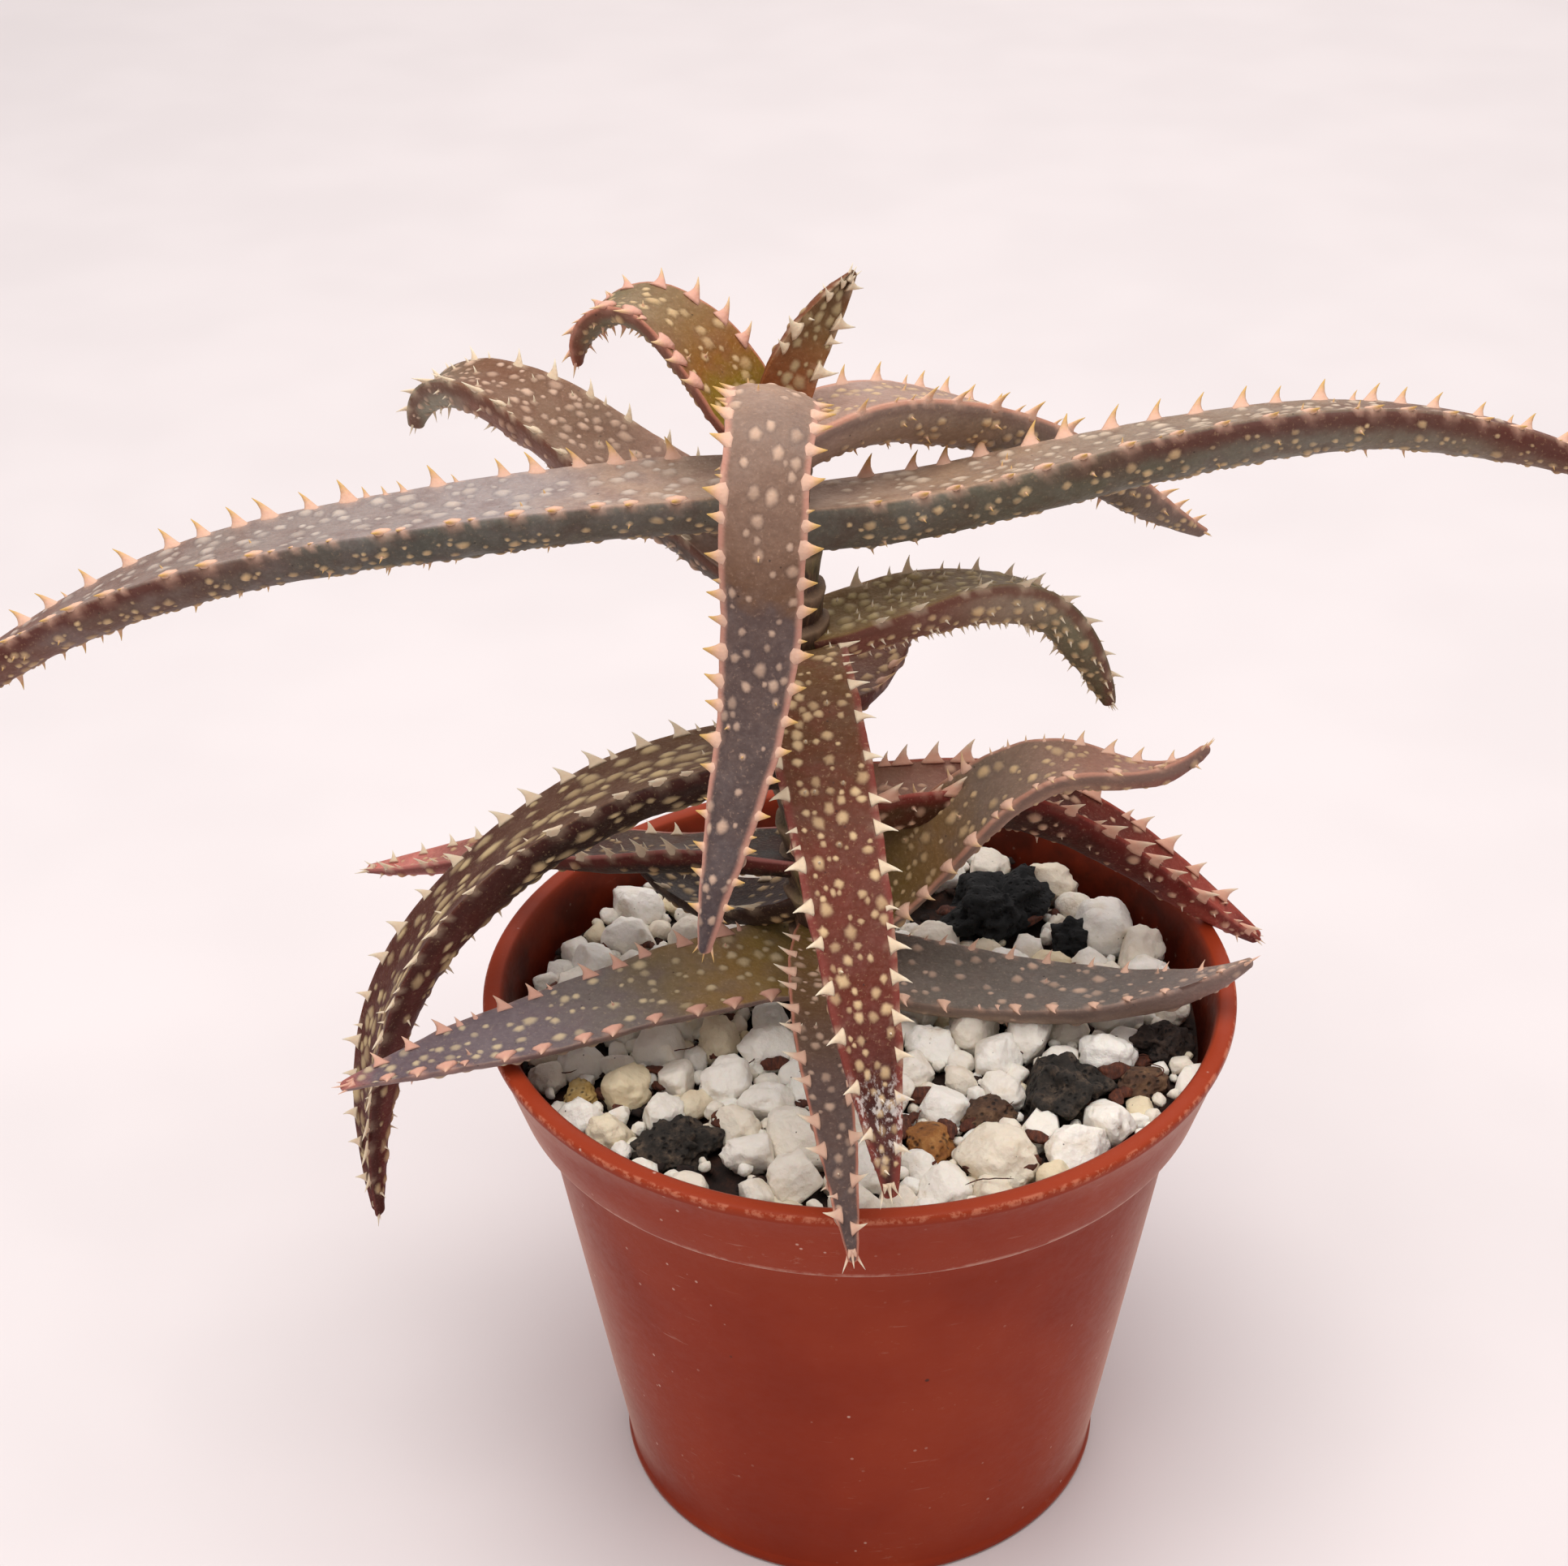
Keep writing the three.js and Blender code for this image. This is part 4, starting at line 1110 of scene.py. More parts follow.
LOOKS = {
    "leaf_crown_left_curl": dict(
        slot="leaf_olive",
        top=[
            (0, "7d7a14"), (0.1, "7f6a16"), (0.24, "88591e"), (0.45, "866a46"), (0.75, "7a7158"),
            (1, "7a6650"),
        ],
        under=[(0, "8a4a3a"), (0.3, "8a6a52"), (0.6, "7e7864"), (0.85, "7c7660"), (1, "8e6450")],
        line="7c4a3c", rim=SALMON, rim_mm=0.3, tooth=PEACH_PINK, barb=CREAM, tooth_size=1.0,
        tooth_gap=0.75, stand=(FLAT, LEANING), top_spots=17, under_spots=34, spot_size=(1.0, 0.9),
        glow=0.4, keel=(0.5, 7),
    ),
    "leaf_crown_spike": dict(
        slot="leaf_olive", top=[(0, "9c5220"), (0.3, "8c522c"), (0.6, "7b5a36"), (1, "644830")],
        under=[(0, "94481f"), (0.35, "86522c"), (1, "6f5034")], line="744028", tooth=PALE_TOOTH,
        barb=IVORY, tooth_size=1.15, stand=(FLAT, FLAT), top_spots=22, under_spots=22,
        spot=CREAM_GREEN,
    ),
    "leaf_right_behind": dict(
        slot="leaf_mauve", top=[(0, "a98878"), (0.3, "a38577"), (1, "7d665c")],
        under=[(0, "a08474"), (0.3, "9c8674"), (0.7, "685848"), (1, "8c7c70")], line=MAUVE,
        rim="c8927c", rim_mm=0.9, tooth=PEACH, barb=YELLOW_TIP, stand=(UPRIGHT, UPRIGHT), wax=0.16,
        top_spots=16, under_spots=34, spot_size=(1, 0.85), keel=(0.6, 5),
    ),
    "leaf_front_hanging": dict(
        slot="leaf_mauve",
        top=[
            (0, "b08f78"), (0.16, "a5836b"), (0.33, "90786a"), (0.45, "8a6c5a"), (0.53, "775742"),
            (0.56, "604e4a"), (0.75, "594a47"), (1, "4b4144"),
        ],
        under=[(0, MAUVE), (1, "5a504a")], line=MAUVE, rim="cf9684", rim_mm=1.0, tooth=PEACH,
        barb=YELLOW_TIP, tooth_gap=0.72, tooth_base=1.35, lean=-0.2, stand=(FLAT, FLAT), wax=0.12,
        top_spots=9, under_spots=7, spot=CREAM_PINK,
    ),
    "leaf_long_left": dict(
        slot="leaf_mauve",
        top=[
            (0, "8c7560"), (0.1, "a88c78"), (0.25, "9d918e"), (0.5, "8d7d75"), (0.7, "836a60"),
            (0.85, "7a554a"), (1, "643630"),
        ],
        under=[
            (0, "70685c"), (0.35, "5e5d55"), (0.6, "6e594e"), (0.75, "7b574b"), (0.88, "74473c"),
            (1, "6a3830"),
        ],
        line="5a2c26", line_from=0.5, tooth=PEACH, barb=YELLOW_TIP, tooth_size=1.15,
        stand=(LOW, UPRIGHT), wax=0.2, top_spots=14, under_spots=36, spot_above="dccbbd",
        spot_size=(1.2, 0.85), spot_top=0.6, keel=(0.55, 6),
    ),
    "leaf_long_right": dict(
        slot="leaf_mauve",
        top=[
            (0, "a88a74"), (0.15, "a2866f"), (0.35, "8f7b69"), (0.55, "87725f"), (0.75, "7a5f54"),
            (0.9, "71443a"), (1, "70382f"),
        ],
        under=[
            (0, "69645a"), (0.3, "66614f"), (0.55, "7c7568"), (0.72, "7f7261"), (0.85, "765646"),
            (1, "6a382e"),
        ],
        line="5a2c26", line_mm=2.2, line_from=0.3, tooth=PEACH, barb=YELLOW_TIP, tooth_size=1.15,
        stand=(UPRIGHT, LOW), wax=0.14, top_spots=16, under_spots=34, spot_above="d8c2ac",
        spot_size=(1.15, 0.85),
    ),
    "leaf_left_curl": dict(
        slot="leaf_maroon",
        top=[
            (0, "bc9c8a"), (0.3, "9f7e6c"), (0.5, "806450"), (0.75, "76523c"), (0.9, "7c725e"),
            (1, "746c5c"),
        ],
        under=[
            (0, "5c534a"), (0.35, "655247"), (0.5, "865f50"), (0.7, "8c604e"), (0.85, "9c9684"),
            (1, "918b78"),
        ],
        line="70483a", tooth=PALE_TOOTH, barb=IVORY, tooth_size=0.95, stand=(LEANING, UPRIGHT),
        top_spots=32, under_spots=34, spot=CREAM_PINK, prickly=0.12, keel=(0.5, 12),
    ),
    "leaf_right_curl": dict(
        slot="leaf_olive", top=[(0, "8c7046"), (0.35, "8a704a"), (0.7, "84745a"), (1, "7a6c52")],
        under=[(0, "7c4438"), (0.3, "7e5648"), (0.5, "9a8672"), (0.7, "7c745d"), (1, "685c44")],
        line="6e4438", line_mm=1.2, tooth=PALE_TOOTH, barb=IVORY, tooth_size=0.9,
        stand=(UPRIGHT, LEANING), top_spots=60, under_spots=60, spot_above="cfb888",
        spot_size=(1.1, 1.05), prickly=0.35, keel=(0.35, 9), tip_teeth=5,
    ),
    "leaf_front_red": dict(
        slot="leaf_red",
        top=[
            (0, "6a5228"), (0.15, "73563a"), (0.3, "5f3a1e"), (0.5, "622e1d"), (0.75, "662c1f"),
            (0.9, "3e1f1b"), (1, "4a2824"),
        ],
        under=[(0, "4a3226"), (0.5, MAROON), (1, DARK_MAROON)], line=WINE, rim=WINE, rim_mm=1.1,
        tooth=PALE_TOOTH, barb=IVORY, tooth_size=0.9, stand=(FLAT, FLAT), top_spots=20,
        under_spots=8, spot="e2bf92", waxy=0.88,
    ),
    "leaf_back_rising": dict(
        slot="leaf_maroon", top=[(0, "66422c"), (1, "805648")],
        under=[(0, "5a3226"), (1, "6a3a30")], line=MAROON, tooth=PEACH, barb=CREAM,
        stand=(LEANING, LEANING), top_spots=10, under_spots=14,
    ),
    "leaf_left_arch": dict(
        slot="leaf_maroon",
        top=[(0, "6a4c30"), (0.25, "6a4c3a"), (0.5, "583126"), (0.7, "56251b"), (1, "541e1c")],
        under=[(0, "33201a"), (0.35, "2a1711"), (0.5, "552720"), (0.7, "683c38"), (1, "7c403a")],
        line=DARK_MAROON, tooth=PALE_TOOTH, barb=IVORY, tooth_size=1.05, stand=(LEANING, LEANING),
        glow=0.3, top_spots=20, under_spots=16, spot="d6bb8e", spot_size=(1.2, 1.05),
        stretch=(1.3, 2.4), keel=(0.45, 9),
    ),
    "leaf_right_channelled": dict(
        slot="leaf_red",
        top=[
            (0, "66461e"), (0.27, "9a6e5e"), (0.5, "42190f"), (0.7, "7e3428"), (0.9, "ae564a"),
            (1, "7a302a"),
        ],
        under=[
            (0, "5a3a20"), (0.35, "381a12"), (0.5, "451a12"), (0.75, "681f1a"), (0.92, "b4584c"),
            (1, "4a1a1a"),
        ],
        line="6e261f", rim="a04a40", rim_mm=0.5, tooth="dca890", barb="ead2b8", tooth_size=1.1,
        tooth_base=1.3, stand=(UPRIGHT, UPRIGHT), glow=0.4, top_spots=10, under_spots=12,
        spot="e0b496",
    ),
    # The near-black base of this leaf, on the upper face and underneath, is painted shadow.
    "leaf_left_pink_tip": dict(
        slot="leaf_maroon",
        top=[
            (0, "2e241c"), (0.3, "604d42"), (0.5, "463029"), (0.7, "7a5044"), (0.85, "d08277"),
            (1, "d8847a"),
        ],
        under=[
            (0, "211914"), (0.3, "2e1e19"), (0.5, "5c4037"), (0.7, "7c4a3e"), (0.87, "d07c74"),
            (1, "d8827a"),
        ],
        line="6a302a", rim="c07a72", rim_mm=0.4, tooth=PALE_TOOTH, barb=IVORY, tooth_size=0.95,
        stand=(UPRIGHT, LEANING), top_spots=8, under_spots=12,
    ),
    # The near-black outer half of this leaf's upper ramp is painted shade.
    "leaf_left_inner": dict(
        slot="leaf_maroon", top=[(0, "4a2c22"), (0.4, "3c2a24"), (0.6, "443530"), (1, "221a16")],
        under=[(0, "4a3a30"), (1, "4a3c34")], line="3a2620", tooth=PALE_TOOTH, barb=IVORY,
        stand=(LEANING, LEANING), glow=0.3, top_spots=14, under_spots=6,
    ),
    "leaf_right_olive": dict(
        slot="leaf_olive",
        top=[
            (0, "523f18"), (0.2, "72582a"), (0.32, "856640"), (0.48, "7d6a5a"), (0.62, "8a7060"),
            (0.75, "987060"), (0.88, "a67a6c"), (1, "8a4a40"),
        ],
        under=[(0, "705634"), (0.5, "b08c7c"), (0.75, "b08c78"), (1, "8a4c42")], line=MAUVE,
        rim="b98672", rim_mm=0.6, tooth=PEACH, barb=CREAM, stand=(LEANING, FLAT), top_spots=16,
        under_spots=10,
    ),
    "leaf_front_low": dict(
        slot="leaf_mauve",
        top=[(0, "6f5828"), (0.25, "6f5330"), (0.45, "664a32"), (0.65, "66524c"), (1, "5e504e")],
        under=[(0, "755036"), (1, "6d5c5a")], line="7a5a4a", rim=SALMON, rim_mm=0.4, tooth=PEACH,
        barb=IVORY, lean=-0.3, stand=(FLAT, FLAT), top_spots=13, under_spots=6, spot=CREAM_PINK,
    ),
    # The light olive base of the upper ramp and the pale underside ramp carry painted light.
    "leaf_rim_left": dict(
        slot="leaf_grey",
        top=[
            (0, "9c8248"), (0.2, "947444"), (0.33, "826e50"), (0.45, "736963"), (0.65, "726569"),
            (0.93, "6e5f65"), (1, "a8645c"),
        ],
        under=[(0, "b4967a"), (0.4, "c0aa98"), (1, "a88a80")], line="7a6464", tooth=PEACH_PINK,
        barb=PEACH, tooth_size=0.95, tooth_base=1.3, stand=(DOMED, LEANING), wax=0.14, top_spots=13,
        under_spots=6, spot="dac29c",
    ),
    # The pale underside ramp of this leaf carries painted light.
    "leaf_rim_right": dict(
        slot="leaf_grey",
        top=[(0, "705c4e"), (0.25, "6e655c"), (0.7, "6d655f"), (0.9, "7a6c66"), (1, "a08a7c")],
        under=[(0, "a08a78"), (0.5, "ac9484"), (1, "987c74")], line="7d6a62", tooth=PEACH,
        barb=PEACH, tooth_size=0.75, stand=(LEANING, FLAT), wax=0.14, top_spots=11, under_spots=7,
        spot=CREAM_PINK,
    ),
}
print("leaves:", len(LEAVES), "total length", sum(leaf["length"] for leaf in LEAVES.values()), "mm")

# %% [markdown]
# ### Walking along a leaf
#
# The slopes are smoothed with a curve that passes through each given value. At every step the walk
# notes the place, the direction ahead, the direction to the side and the direction up out of the
# leaf. Small slow waves are added to the width of each edge and to the thickness, because no real
# leaf is ruler-straight.

# %% The line of a leaf
ROW_STEP = 0.8
TOP_COLUMNS = 14
UNDER_COLUMNS = 18


def smooth(values, s):
    """A smooth curve through evenly spaced values, read at s from 0 to 1."""
    spans = len(values) - 1
    k = np.minimum((s * spans).astype(int), spans - 1)
    f = s * spans - k
    v = np.array(values, float)
    padded = np.concatenate([[2 * v[0] - v[1]], v, [2 * v[-1] - v[-2]]])
    p0, p1, p2, p3 = padded[k], padded[k + 1], padded[k + 2], padded[k + 3]
    linear = -p0 + p2
    square = 2 * p0 - 5 * p1 + 4 * p2 - p3
    cube = -p0 + 3 * p1 - 3 * p2 + p3
    return 0.5 * (2 * p1 + linear * f + square * f * f + cube * f ** 3)


def share(table, s):
    return np.interp(s, [row[0] for row in table], [row[1] for row in table])


def waves(s_mm, seed, size, period):
    """Slow seeded waves along a leaf."""
    return np.array([size * noise.noise(Vector((mm / period, seed * 7.3, seed * 1.7))) for mm in s_mm])


def leaf_line(leaf, seed):
    rows = max(16, round(leaf["length"] / ROW_STEP))
    s = np.arange(rows + 1) / rows
    heading = np.radians(smooth(leaf["heading"], s))
    rise = np.radians(smooth(leaf["rise"], s))
    roll = np.radians(smooth(leaf["roll"], s))[:, None]
    ahead = np.stack([np.cos(rise) * np.cos(heading), np.cos(rise) * np.sin(heading), np.sin(rise)], 1)
    level = np.stack([-np.sin(heading), np.cos(heading), np.zeros(rows + 1)], 1)
    lift = np.cross(ahead, level)
    side = np.cos(roll) * level + np.sin(roll) * lift
    up = np.cos(roll) * lift - np.sin(roll) * level
    first = math.radians(leaf["heading"][0])
    outward = np.array([math.cos(first), math.sin(first), 0])
    start = np.array(stem_point(leaf["height"])) + LEAF_START * outward
    step = leaf["length"] / rows
    middles = (ahead[1:] + ahead[:-1]) / 2
    place = start + np.concatenate([np.zeros((1, 3)), np.cumsum(middles * step, 0)])
    mm = s * leaf["length"]
    half = leaf["width"] / 2 * share(WIDTH_SHARE, s)
    thick = leaf["thickness"] * share(THICK_SHARE, s) * (1 + waves(mm, seed + 40, 0.05, 9))
    return dict(
        s=s, mm=mm, place=place, ahead=ahead, side=side, up=up, thick=thick, step=step,
        left=half * (1 + waves(mm, seed, 0.06, 8)), right=half * (1 + waves(mm, seed + 20, 0.06, 8)),
    )


# %% [markdown]
# ### The skin
#
# At each row a closed section is laid out: from the left edge over the top to the right edge, then
# back underneath. Points crowd toward the edges, where the skin turns sharply. A short rounded cap
# closes the blunt tip. Each point also learns how far it lies from the nearest edge, in millimetres
# along the skin: below zero on the upper face, above zero on the underside. The coloured lines
# along the edges hang on that number.

# %% Section and skin of a leaf
CAP_ROWS = 5


def edge_distance(arc, under):
    """Distance from the nearer end of an arc, counted below zero on the upper face."""
    near = np.minimum(arc, arc[..., -1:] - arc)
    return near if under else -near


def leaf_skin(leaf, seed):
    """Grid of skin points with their outward normals, and the numbers that the material reads."""
    line = leaf_line(leaf, seed)
    top = np.cos(np.linspace(0, math.pi, TOP_COLUMNS + 1))
    below = np.linspace(math.pi, 2 * math.pi, UNDER_COLUMNS + 1)[1:-1]
    cols = TOP_COLUMNS + UNDER_COLUMNS
    across = np.concatenate([top, np.cos(below)])
    depth = np.concatenate([np.zeros(TOP_COLUMNS + 1), np.abs(np.sin(below)) ** 0.92])
    on_top = np.arange(cols) <= TOP_COLUMNS
    trough = np.where(on_top, 1 - np.abs(across) ** 2.3, 0)
    edge_drop = np.where(on_top, np.abs(across) ** 8, 1)
    half = np.where(across[None, :] > 0, line["left"][:, None], line["right"][:, None])
    channel = np.minimum(leaf["channel"], 0.3 * line["thick"])[:, None]
    thick = line["thick"][:, None]
    x = half * across[None, :]
    y = -channel * trough[None, :] - 0.04 * thick * edge_drop[None, :] - 0.96 * thick * depth[None, :]
    across_leaf = x[..., None] * line["side"][:, None]
    grid = line["place"][:, None] + across_leaf + y[..., None] * line["up"][:, None]
    cap = []
    end = grid[-1]
    middle = end.mean(0)
    reach = 0.8 * (line["left"][-1] + line["right"][-1]) / 2
    for k in range(1, CAP_ROWS + 1):
        turn = k / CAP_ROWS * math.pi / 2 * 0.94
        cap.append(middle + (end - middle) * math.cos(turn) + line["ahead"][-1] * reach * math.sin(turn))
    grid = np.concatenate([grid, np.array(cap)])
    s = np.concatenate([line["s"], np.ones(CAP_ROWS)])
    along_rows = np.gradient(grid, axis=0)
    around = np.roll(grid, -1, 1) - np.roll(grid, 1, 1)
    normal = np.cross(around, along_rows)
    normal /= np.maximum(np.linalg.norm(normal, axis=2, keepdims=True), 1e-9)
    normal *= np.sign((normal * (grid - grid.mean(1, keepdims=True))).sum(2).mean())
    lumps = np.array([noise.noise(Vector(p) * 0.35 + Vector((seed, 0, 0))) for p in grid.reshape(-1, 3)])
    fine = np.array([noise.noise(Vector(p) * 1.1 + Vector((0, seed, 0))) for p in grid.reshape(-1, 3)])
    grid = grid + normal * (0.13 * lumps + 0.05 * fine).reshape(grid.shape[:2])[..., None]
    lengths = np.linalg.norm(np.roll(grid, -1, 1) - grid, axis=2)
    start = np.zeros((len(grid), 1))
    over = np.concatenate([start, np.cumsum(lengths[:, :TOP_COLUMNS], 1)], 1)
    beneath = np.concatenate([start, np.cumsum(lengths[:, TOP_COLUMNS:], 1)], 1)
    edge = np.concatenate([edge_distance(over, False), edge_distance(beneath, True)[:, 1:-1]], 1)
    return dict(
        line=line, grid=grid, normal=normal, s=s, cols=cols, over=over, beneath=beneath, edge=edge)


# %% [markdown]
# ### Teeth and spots
#
# A tooth is a thorn: a broad flattened base that sweeps up into a hooked point with hollow flanks.
# It is a stack of shrinking ovals along a bent line. A spot is a low blister in the skin, and some
# carry a small prickle. Each blister is a small fan of rings laid on the skin itself, so it follows
# every curve, and it fades out before its rim sinks just below the surface.

# %% Reading a skin between its points
def skin_at(skin, row, col):
    """Skin points and normals at fractional rows and columns."""
    grid, normal = skin["grid"], skin["normal"]
    row = np.clip(row, 0, len(grid) - 1.001)
    i = row.astype(int)
    fi = (row - i)[:, None]
    j = np.floor(col).astype(int)
    fj = (col - j)[:, None]
    j0, j1 = j % skin["cols"], (j + 1) % skin["cols"]

    def read(field):
        near = field[i, j0] * (1 - fj) + field[i, j1] * fj
        far = field[i + 1, j0] * (1 - fj) + field[i + 1, j1] * fj
        return near * (1 - fi) + far * fi

    facing = read(normal)
    return read(grid), facing / np.maximum(np.linalg.norm(facing, axis=1, keepdims=True), 1e-9)


# %% A thorn
TOOTH_RINGS = [(0.0, 1.0), (0.14, 0.76), (0.3, 0.52), (0.5, 0.33), (0.75, 0.17), (1.0, 0.03)]
PRICKLE_RINGS = [(0.0, 1.0), (0.3, 0.55), (0.65, 0.27), (1.0, 0.04)]
TOOTH_SINK = 0.5


def thorn(heap, foot, out, ahead, tall, base, lean, rings=TOOTH_RINGS, sides=8, flat=0.42, **values):
    """Adds one hooked tooth that grows along out and leans ahead."""
    across = np.cross(out, ahead)
    points, marks = [], []
    for t, thin in rings:
        centre = foot + out * (tall + TOOTH_SINK) * t - out * TOOTH_SINK + ahead * lean * t * t * tall
        for k in range(sides):
            a = k / sides * 2 * math.pi
            round_foot = math.cos(a) * ahead + (flat + 0.3 * t) * math.sin(a) * across
            points.append(centre + base * thin * round_foot)
            marks.append(0.03 + 0.97 * t)
    heap.add(points, ring_faces(len(rings), sides), tooth=marks, glow=1.0, **values)


# %% Blisters
BLISTER_RINGS = [
    (0.0, 1.0, 1.0), (0.38, 0.9, 1.0), (0.66, 0.62, 0.8),
    (0.9, 0.3, 0.42), (1.14, 0.07, 0.1), (1.4, -0.1, 0.0),
]
ROWS_OF_SPOTS = 24
SPOT_SIZES = (0.3, 0.37, 0.45, 0.52, 0.58, 0.7)


def add_blisters(heap, skin, leaf, chance):
    """Raised pale spots in loose crosswise clusters, on the top face and on the underside."""
    step = skin["line"]["step"]
    last_row = len(skin["line"]["s"]) - 1
    stretch = leaf.get("stretch", (0.95, 1.3))
    taken = []
    for upper, density in ((True, leaf["top_spots"]), (False, leaf["under_spots"])):
        first = 0 if upper else TOP_COLUMNS
        scale = leaf.get("spot_size", (1.0, 1.0))[0 if upper else 1]
        for _ in range(int(density * leaf["length"] * leaf["width"] / 100 * 1.5)):
            s = chance.uniform(0.05, 0.97)
            if chance.random() < 0.5:
                s = (round(s * ROWS_OF_SPOTS) + chance.uniform(-0.3, 0.3)) / ROWS_OF_SPOTS
            s = min(max(s, 0.04), 0.97)
            row = s * last_row
            arc = (skin["over"] if upper else skin["beneath"])[int(row)]
            if arc[-1] < 2.4:
                continue
            spot = chance.uniform(0.1, 0.9) * arc[-1]
            size = chance.choice(SPOT_SIZES) * scale * (0.7 + 0.3 * float(share(WIDTH_SHARE, s)))
            mm = s * leaf["length"]
            if any(
                upper == u and math.hypot(mm - m, spot - a) < 0.95 * (size + z) for u, m, a, z in taken
            ):
                continue
            taken.append((upper, mm, spot, size))
            long, wide = size * chance.uniform(*stretch), size * chance.uniform(0.9, 1.05)
            tall = size * (chance.uniform(0.15, 0.3) if upper else chance.uniform(0.3, 0.6))
            sides = 10 if size > 0.48 else 8
            wobble = [chance.uniform(0.82, 1.18) for _ in range(sides)]
            turns = [(k / sides * 2 * math.pi, wobble[k]) for k in range(sides)]
            rings = [(ring, a, bulge) for ring in BLISTER_RINGS[1:] for a, bulge in turns]
            rings.insert(0, (BLISTER_RINGS[0], 0.0, 1.0))
            shift = np.array([ring[0] * long * bulge * math.cos(a) for ring, a, bulge in rings])
            reach = np.array([spot + ring[0] * wide * bulge * math.sin(a) for ring, a, bulge in rings])
            cols = first + np.interp(reach, arc, np.arange(len(arc)))
            points, facing = skin_at(skin, row + shift / step, cols)
            points = points + facing * np.array([tall * ring[1] for ring, _, _ in rings])[:, None]
            faces = [(0, 1 + k, 1 + (k + 1) % sides) for k in range(sides)]
            for ring in range(len(BLISTER_RINGS) - 2):
                for k in range(sides):
                    a, b = 1 + ring * sides + k, 1 + ring * sides + (k + 1) % sides
                    faces.append((a, a + sides, b + sides, b))
            near = np.clip(np.minimum(reach, arc[-1] - reach), 0, None)
            heap.add(
                points, faces, along=s + shift / leaf["length"], edge=-near if upper else near,
                spot=[ring[2] for ring, _, _ in rings], tint=chance.random())
            if chance.random() < leaf.get("prickly", 0.06) * (1.0 if upper else 1.6):
                ahead = skin["line"]["ahead"][int(row)]
                thorn(heap, points[0], facing[0], ahead, chance.uniform(0.35, 0.8), 0.4, 0.4,
                      PRICKLE_RINGS, 5, 0.8, along=s, edge=-near[0] if upper else near[0])
    return len(taken)


# %% Teeth
TOOTHLESS_BASE = 6
TOOTH_TALL = 1.85
TOOTH_HALF_BASE = 1.15


def add_teeth(heap, skin, leaf, chance):
    """Teeth along edges, keel and blunt tip. Returns where those of the edges stand."""
    line = skin["line"]
    places = []
    scale = leaf.get("tooth_size", 1.0)
    lean = leaf.get("lean", 0.5)
    gap = leaf.get("tooth_gap", 1.0)
    left, right = leaf["stand"]
    for hand, column, (sideways, upward, tall) in ((1, 0, left), (-1, TOP_COLUMNS, right)):
        mm = TOOTHLESS_BASE + chance.uniform(0, 3)
        while mm < leaf["length"] * 0.965:
            s = mm / leaf["length"]
            narrow = 0.62 + 0.38 * float(share(WIDTH_SHARE, s))
            small = chance.random() < 0.25
            size = scale * narrow * (chance.uniform(0.4, 0.6) if small else chance.uniform(0.85, 1.15))
            row = s * (len(line["s"]) - 1)
            foot, _ = skin_at(skin, np.array([row]), np.array([float(column)]))
            i = int(row)
            side = line["side"][i] * hand
            out = side * sideways + line["up"][i] * (upward + chance.uniform(-0.08, 0.08))
            out /= np.linalg.norm(out)
            thorn(
                heap, foot[0] - side * 0.25, out, line["ahead"][i], TOOTH_TALL * size * tall,
                TOOTH_HALF_BASE * size * leaf.get("tooth_base", 1.0),
                lean + chance.uniform(-0.15, 0.15), along=s)
            places.append((foot[0], size))
            mm += (2.0 if small else chance.uniform(3.1, 5.3)) * (0.7 + 0.3 * narrow) * gap
    begin, count = leaf.get("keel", (0, 0))
    keel = TOP_COLUMNS + UNDER_COLUMNS / 2
    for k in range(count):
        s = begin + (0.96 - begin) * (k + chance.uniform(0.2, 0.8)) / count
        row, column = s * (len(line["s"]) - 1), keel + chance.uniform(-2, 2)
        foot, facing = skin_at(skin, np.array([row]), np.array([column]))
        size = scale * chance.uniform(0.55, 0.85) * (0.6 + 0.4 * float(share(WIDTH_SHARE, s)))
        ahead = line["ahead"][int(row)]
        thorn(heap, foot[0], facing[0], ahead, 1.9 * size, 0.95 * size, 0.35, along=s, edge=3.0)
    tip, side, up = line["place"][-1], line["side"][-1], line["up"][-1]
    end = tip - up * line["thick"][-1] * 0.4 - line["ahead"][-1] * 0.4
    count = leaf.get("tip_teeth", 3)
    for k in range(count):
        fan = 2 * k / (count - 1) - 1
        spread = side * fan * chance.uniform(0.35, 0.6)
        out = line["ahead"][-1] + spread + up * chance.uniform(-0.15, 0.25)
        out /= np.linalg.norm(out)
        foot = end + side * fan * line["left"][-1] * 0.6
        thorn(heap, foot, out, up, chance.uniform(1.3, 2.1), 0.5, 0.12, flat=0.7, along=1.0)
    return places


# %% [markdown]
# ### Leaf finish
#
# The colour starts from two ramps along the leaf, upper face and underside, mixed by the distance
# from the edge. Then come the things that make it skin: a thin film of wax that greys it, blotches,
# fine freckles and dark dots, a dark line just under the edge, on some leaves a pink rim, peach
# round each tooth, and the cream of spots and teeth. Light sinks a little way into succulent
# leaves, so the shader has some subsurface scattering, which makes the teeth glow.

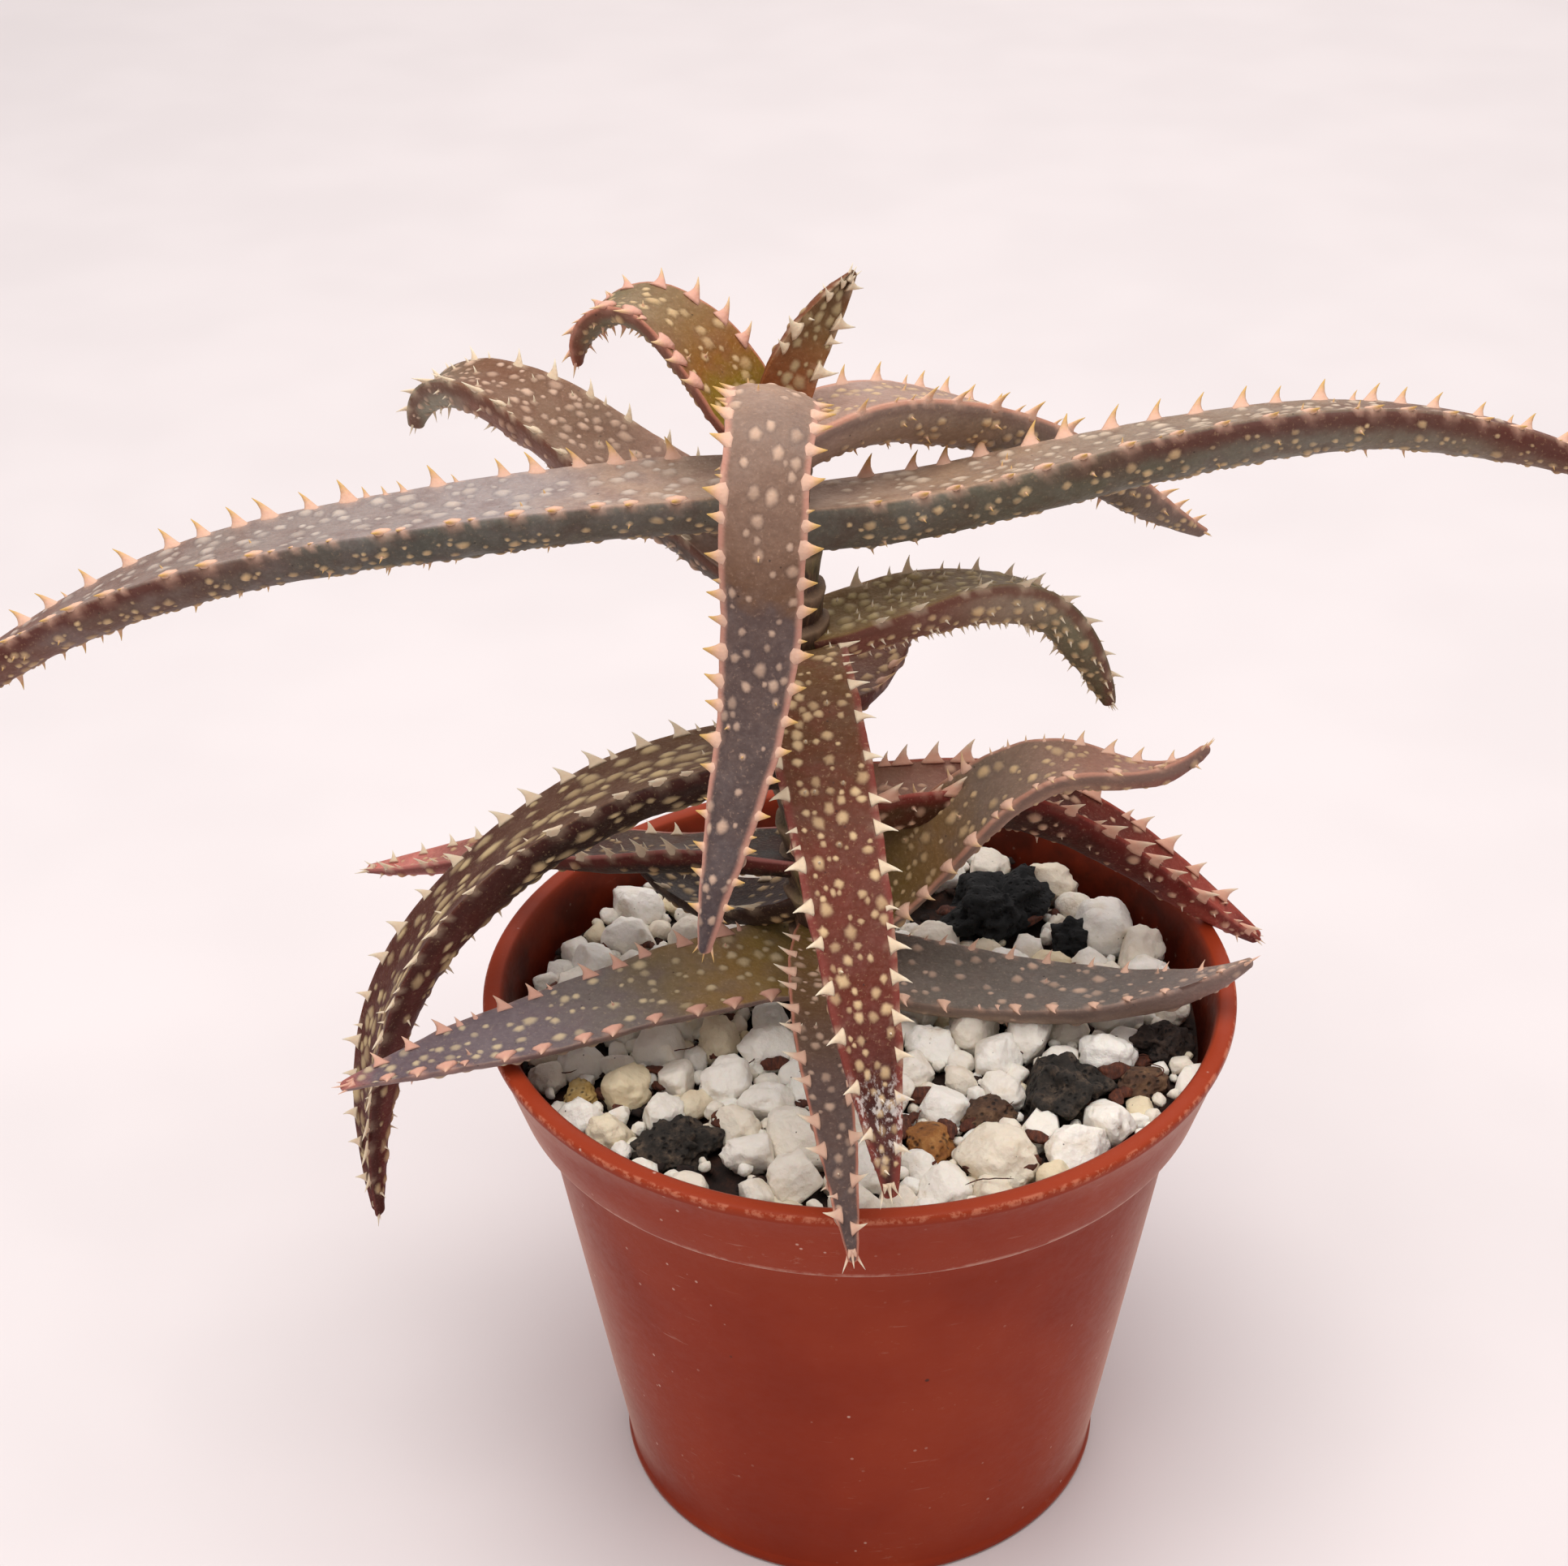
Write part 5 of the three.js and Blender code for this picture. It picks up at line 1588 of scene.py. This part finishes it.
# %% Finish of one leaf
def leaf_finish(name, leaf):
    skin = Finish(
        name.replace("leaf_", "skin_"), Subsurface_Weight=0.12, Subsurface_Scale=0.0014,
        Subsurface_Radius=(1.0, 0.5, 0.3), IOR=1.42, Specular_IOR_Level=0.2)
    along = skin.mark("along")
    edge = skin.mark("edge")
    drift = skin.times(skin.maths("SUBTRACT", skin.noise(0.16, 3), 0.5), 0.22)
    reading = skin.maths("ADD", along, drift, True)
    below = skin.band(edge, -0.15, 0.35)
    base = skin.mix(below, skin.ramp(reading, leaf["top"]), skin.ramp(reading, leaf["under"]))

    blotch = skin.noise(0.32, 5, 0.62)
    base = skin.mix(skin.band(blotch, 0.42, 0.7, 0.0, 0.28), base, leaf["line"])
    wax = skin.band(skin.noise(0.14, 4, 0.6), 0.45, 0.75, 0.0, leaf.get("wax", 0.04))
    base = skin.mix(wax, base, "a8a0a0")
    mottle = skin.noise(1.5, 5, 0.65)
    base = skin.mix(skin.band(mottle, 0.35, 0.72, 0.0, 0.34), base, skin.mix(0.42, base, "20140f"))
    base = skin.mix(skin.band(mottle, 0.55, 0.3, 0.0, 0.06), base, skin.mix(0.4, base, "e8d8c8"))

    ragged = skin.times(skin.maths("SUBTRACT", skin.noise(0.45, 4), 0.5), 1.6)
    depth = skin.maths("ADD", edge, ragged)
    width = leaf.get("line_mm", 1.5)
    dark = skin.times(skin.band(edge, 0.0, 0.4), skin.band(depth, width * 1.5, width * 0.6))
    begins = leaf.get("line_from", -0.2)
    dark = skin.times(dark, skin.band(along, begins - 0.1, begins + 0.15))
    base = skin.mix(skin.times(dark, 0.8), base, leaf["line"])
    if "rim" in leaf:
        above = skin.band(edge, -leaf["rim_mm"], -0.25 * leaf["rim_mm"])
        rim = skin.times(above, skin.band(edge, 0.6, 0.1))
        base = skin.mix(skin.times(rim, 0.8), base, leaf["rim"])
    dots = skin.band(skin.cells(0.7), 0.11, 0.06)
    dots = skin.times(dots, skin.band(skin.noise(0.25, 2), 0.5, 0.6))
    base = skin.mix(skin.times(dots, 0.6), base, "2c2220")
    spot = skin.mix(below, leaf.get("spot_above", leaf.get("spot", CREAM)), leaf.get("spot", CREAM))
    flecks = skin.band(skin.noise(2.6, 3, 0.6), 0.58, 0.7, 0.0, 0.15)
    base = skin.mix(flecks, base, spot)
    glow = skin.mark("glow")
    base = skin.mix(skin.maths("MULTIPLY", glow, leaf.get("glow", 0.6), True), base, leaf["tooth"])

    cream = skin.mix(skin.mark("tint"), spot, skin.mix(0.45, base, spot))
    faint = skin.band(edge, -0.15, 0.35, leaf["spot_top"], 0.88) if "spot_top" in leaf else 0.88
    base = skin.mix(skin.times(skin.mark("spot"), faint), base, cream)
    tooth = skin.mark("tooth")
    horn = skin.mix(skin.band(tooth, 0.3, 0.95), leaf["tooth"], leaf["barb"])
    base = skin.mix(skin.band(tooth, 0.0, 0.08), base, horn)
    if "waxy" in leaf:
        film = skin.band(skin.noise(0.9, 6, 0.7, skin.stretched(1.6, 1.6, 0.45)), 0.5, 0.6)
        begins = skin.band(along, leaf["waxy"] - 0.06, leaf["waxy"])
        ends = skin.band(along, 0.97, 0.93)
        base = skin.mix(skin.times(film, begins, ends, 0.75), base, "d9cfc8")

    rough = skin.band(blotch, 0.3, 0.7, 0.46, 0.62)
    pores = skin.times(skin.cells(2.6), 0.7)
    wrinkle = skin.noise(0.8, 5, 0.6)
    return skin.done(base, rough, skin.maths("ADD", pores, wrinkle), 0.09, 0.6)


# %% Build every leaf
def glow_on(skin, teeth):
    """How near each skin point lies to the foot of a tooth, from 0 to 1."""
    glow = np.zeros(skin["grid"].shape[:2])
    for foot, size in teeth:
        far = np.linalg.norm(skin["grid"] - foot, axis=2)
        glow = np.maximum(glow, np.clip(1.3 - far / (0.9 * size), 0, 1))
    return glow


def make_leaf(name, seed):
    leaf = {**LEAVES[name], **LOOKS[name]}
    chance = random.Random(seed)
    skin = leaf_skin(leaf, seed)
    heap = Heap("along", "edge", "spot", "tint", "tooth", "glow")
    teeth = add_teeth(heap, skin, leaf, chance)
    blisters = add_blisters(heap, skin, leaf, chance)
    rows, cols = skin["grid"].shape[:2]
    heap.add(
        skin["grid"].reshape(-1, 3), ring_faces(rows, cols), along=np.repeat(skin["s"], cols),
        edge=skin["edge"].reshape(-1), glow=glow_on(skin, teeth).reshape(-1))
    piece = heap.piece(name.replace("leaf_", "aloe_leaf_"), leaf_finish(name, leaf), leaf["slot"], [name])
    print(name, "teeth", len(teeth), "blisters", blisters)
    return piece


LEAF_SEED = 100
for number, leaf_name in enumerate(LEAVES):
    make_leaf(leaf_name, LEAF_SEED + number)
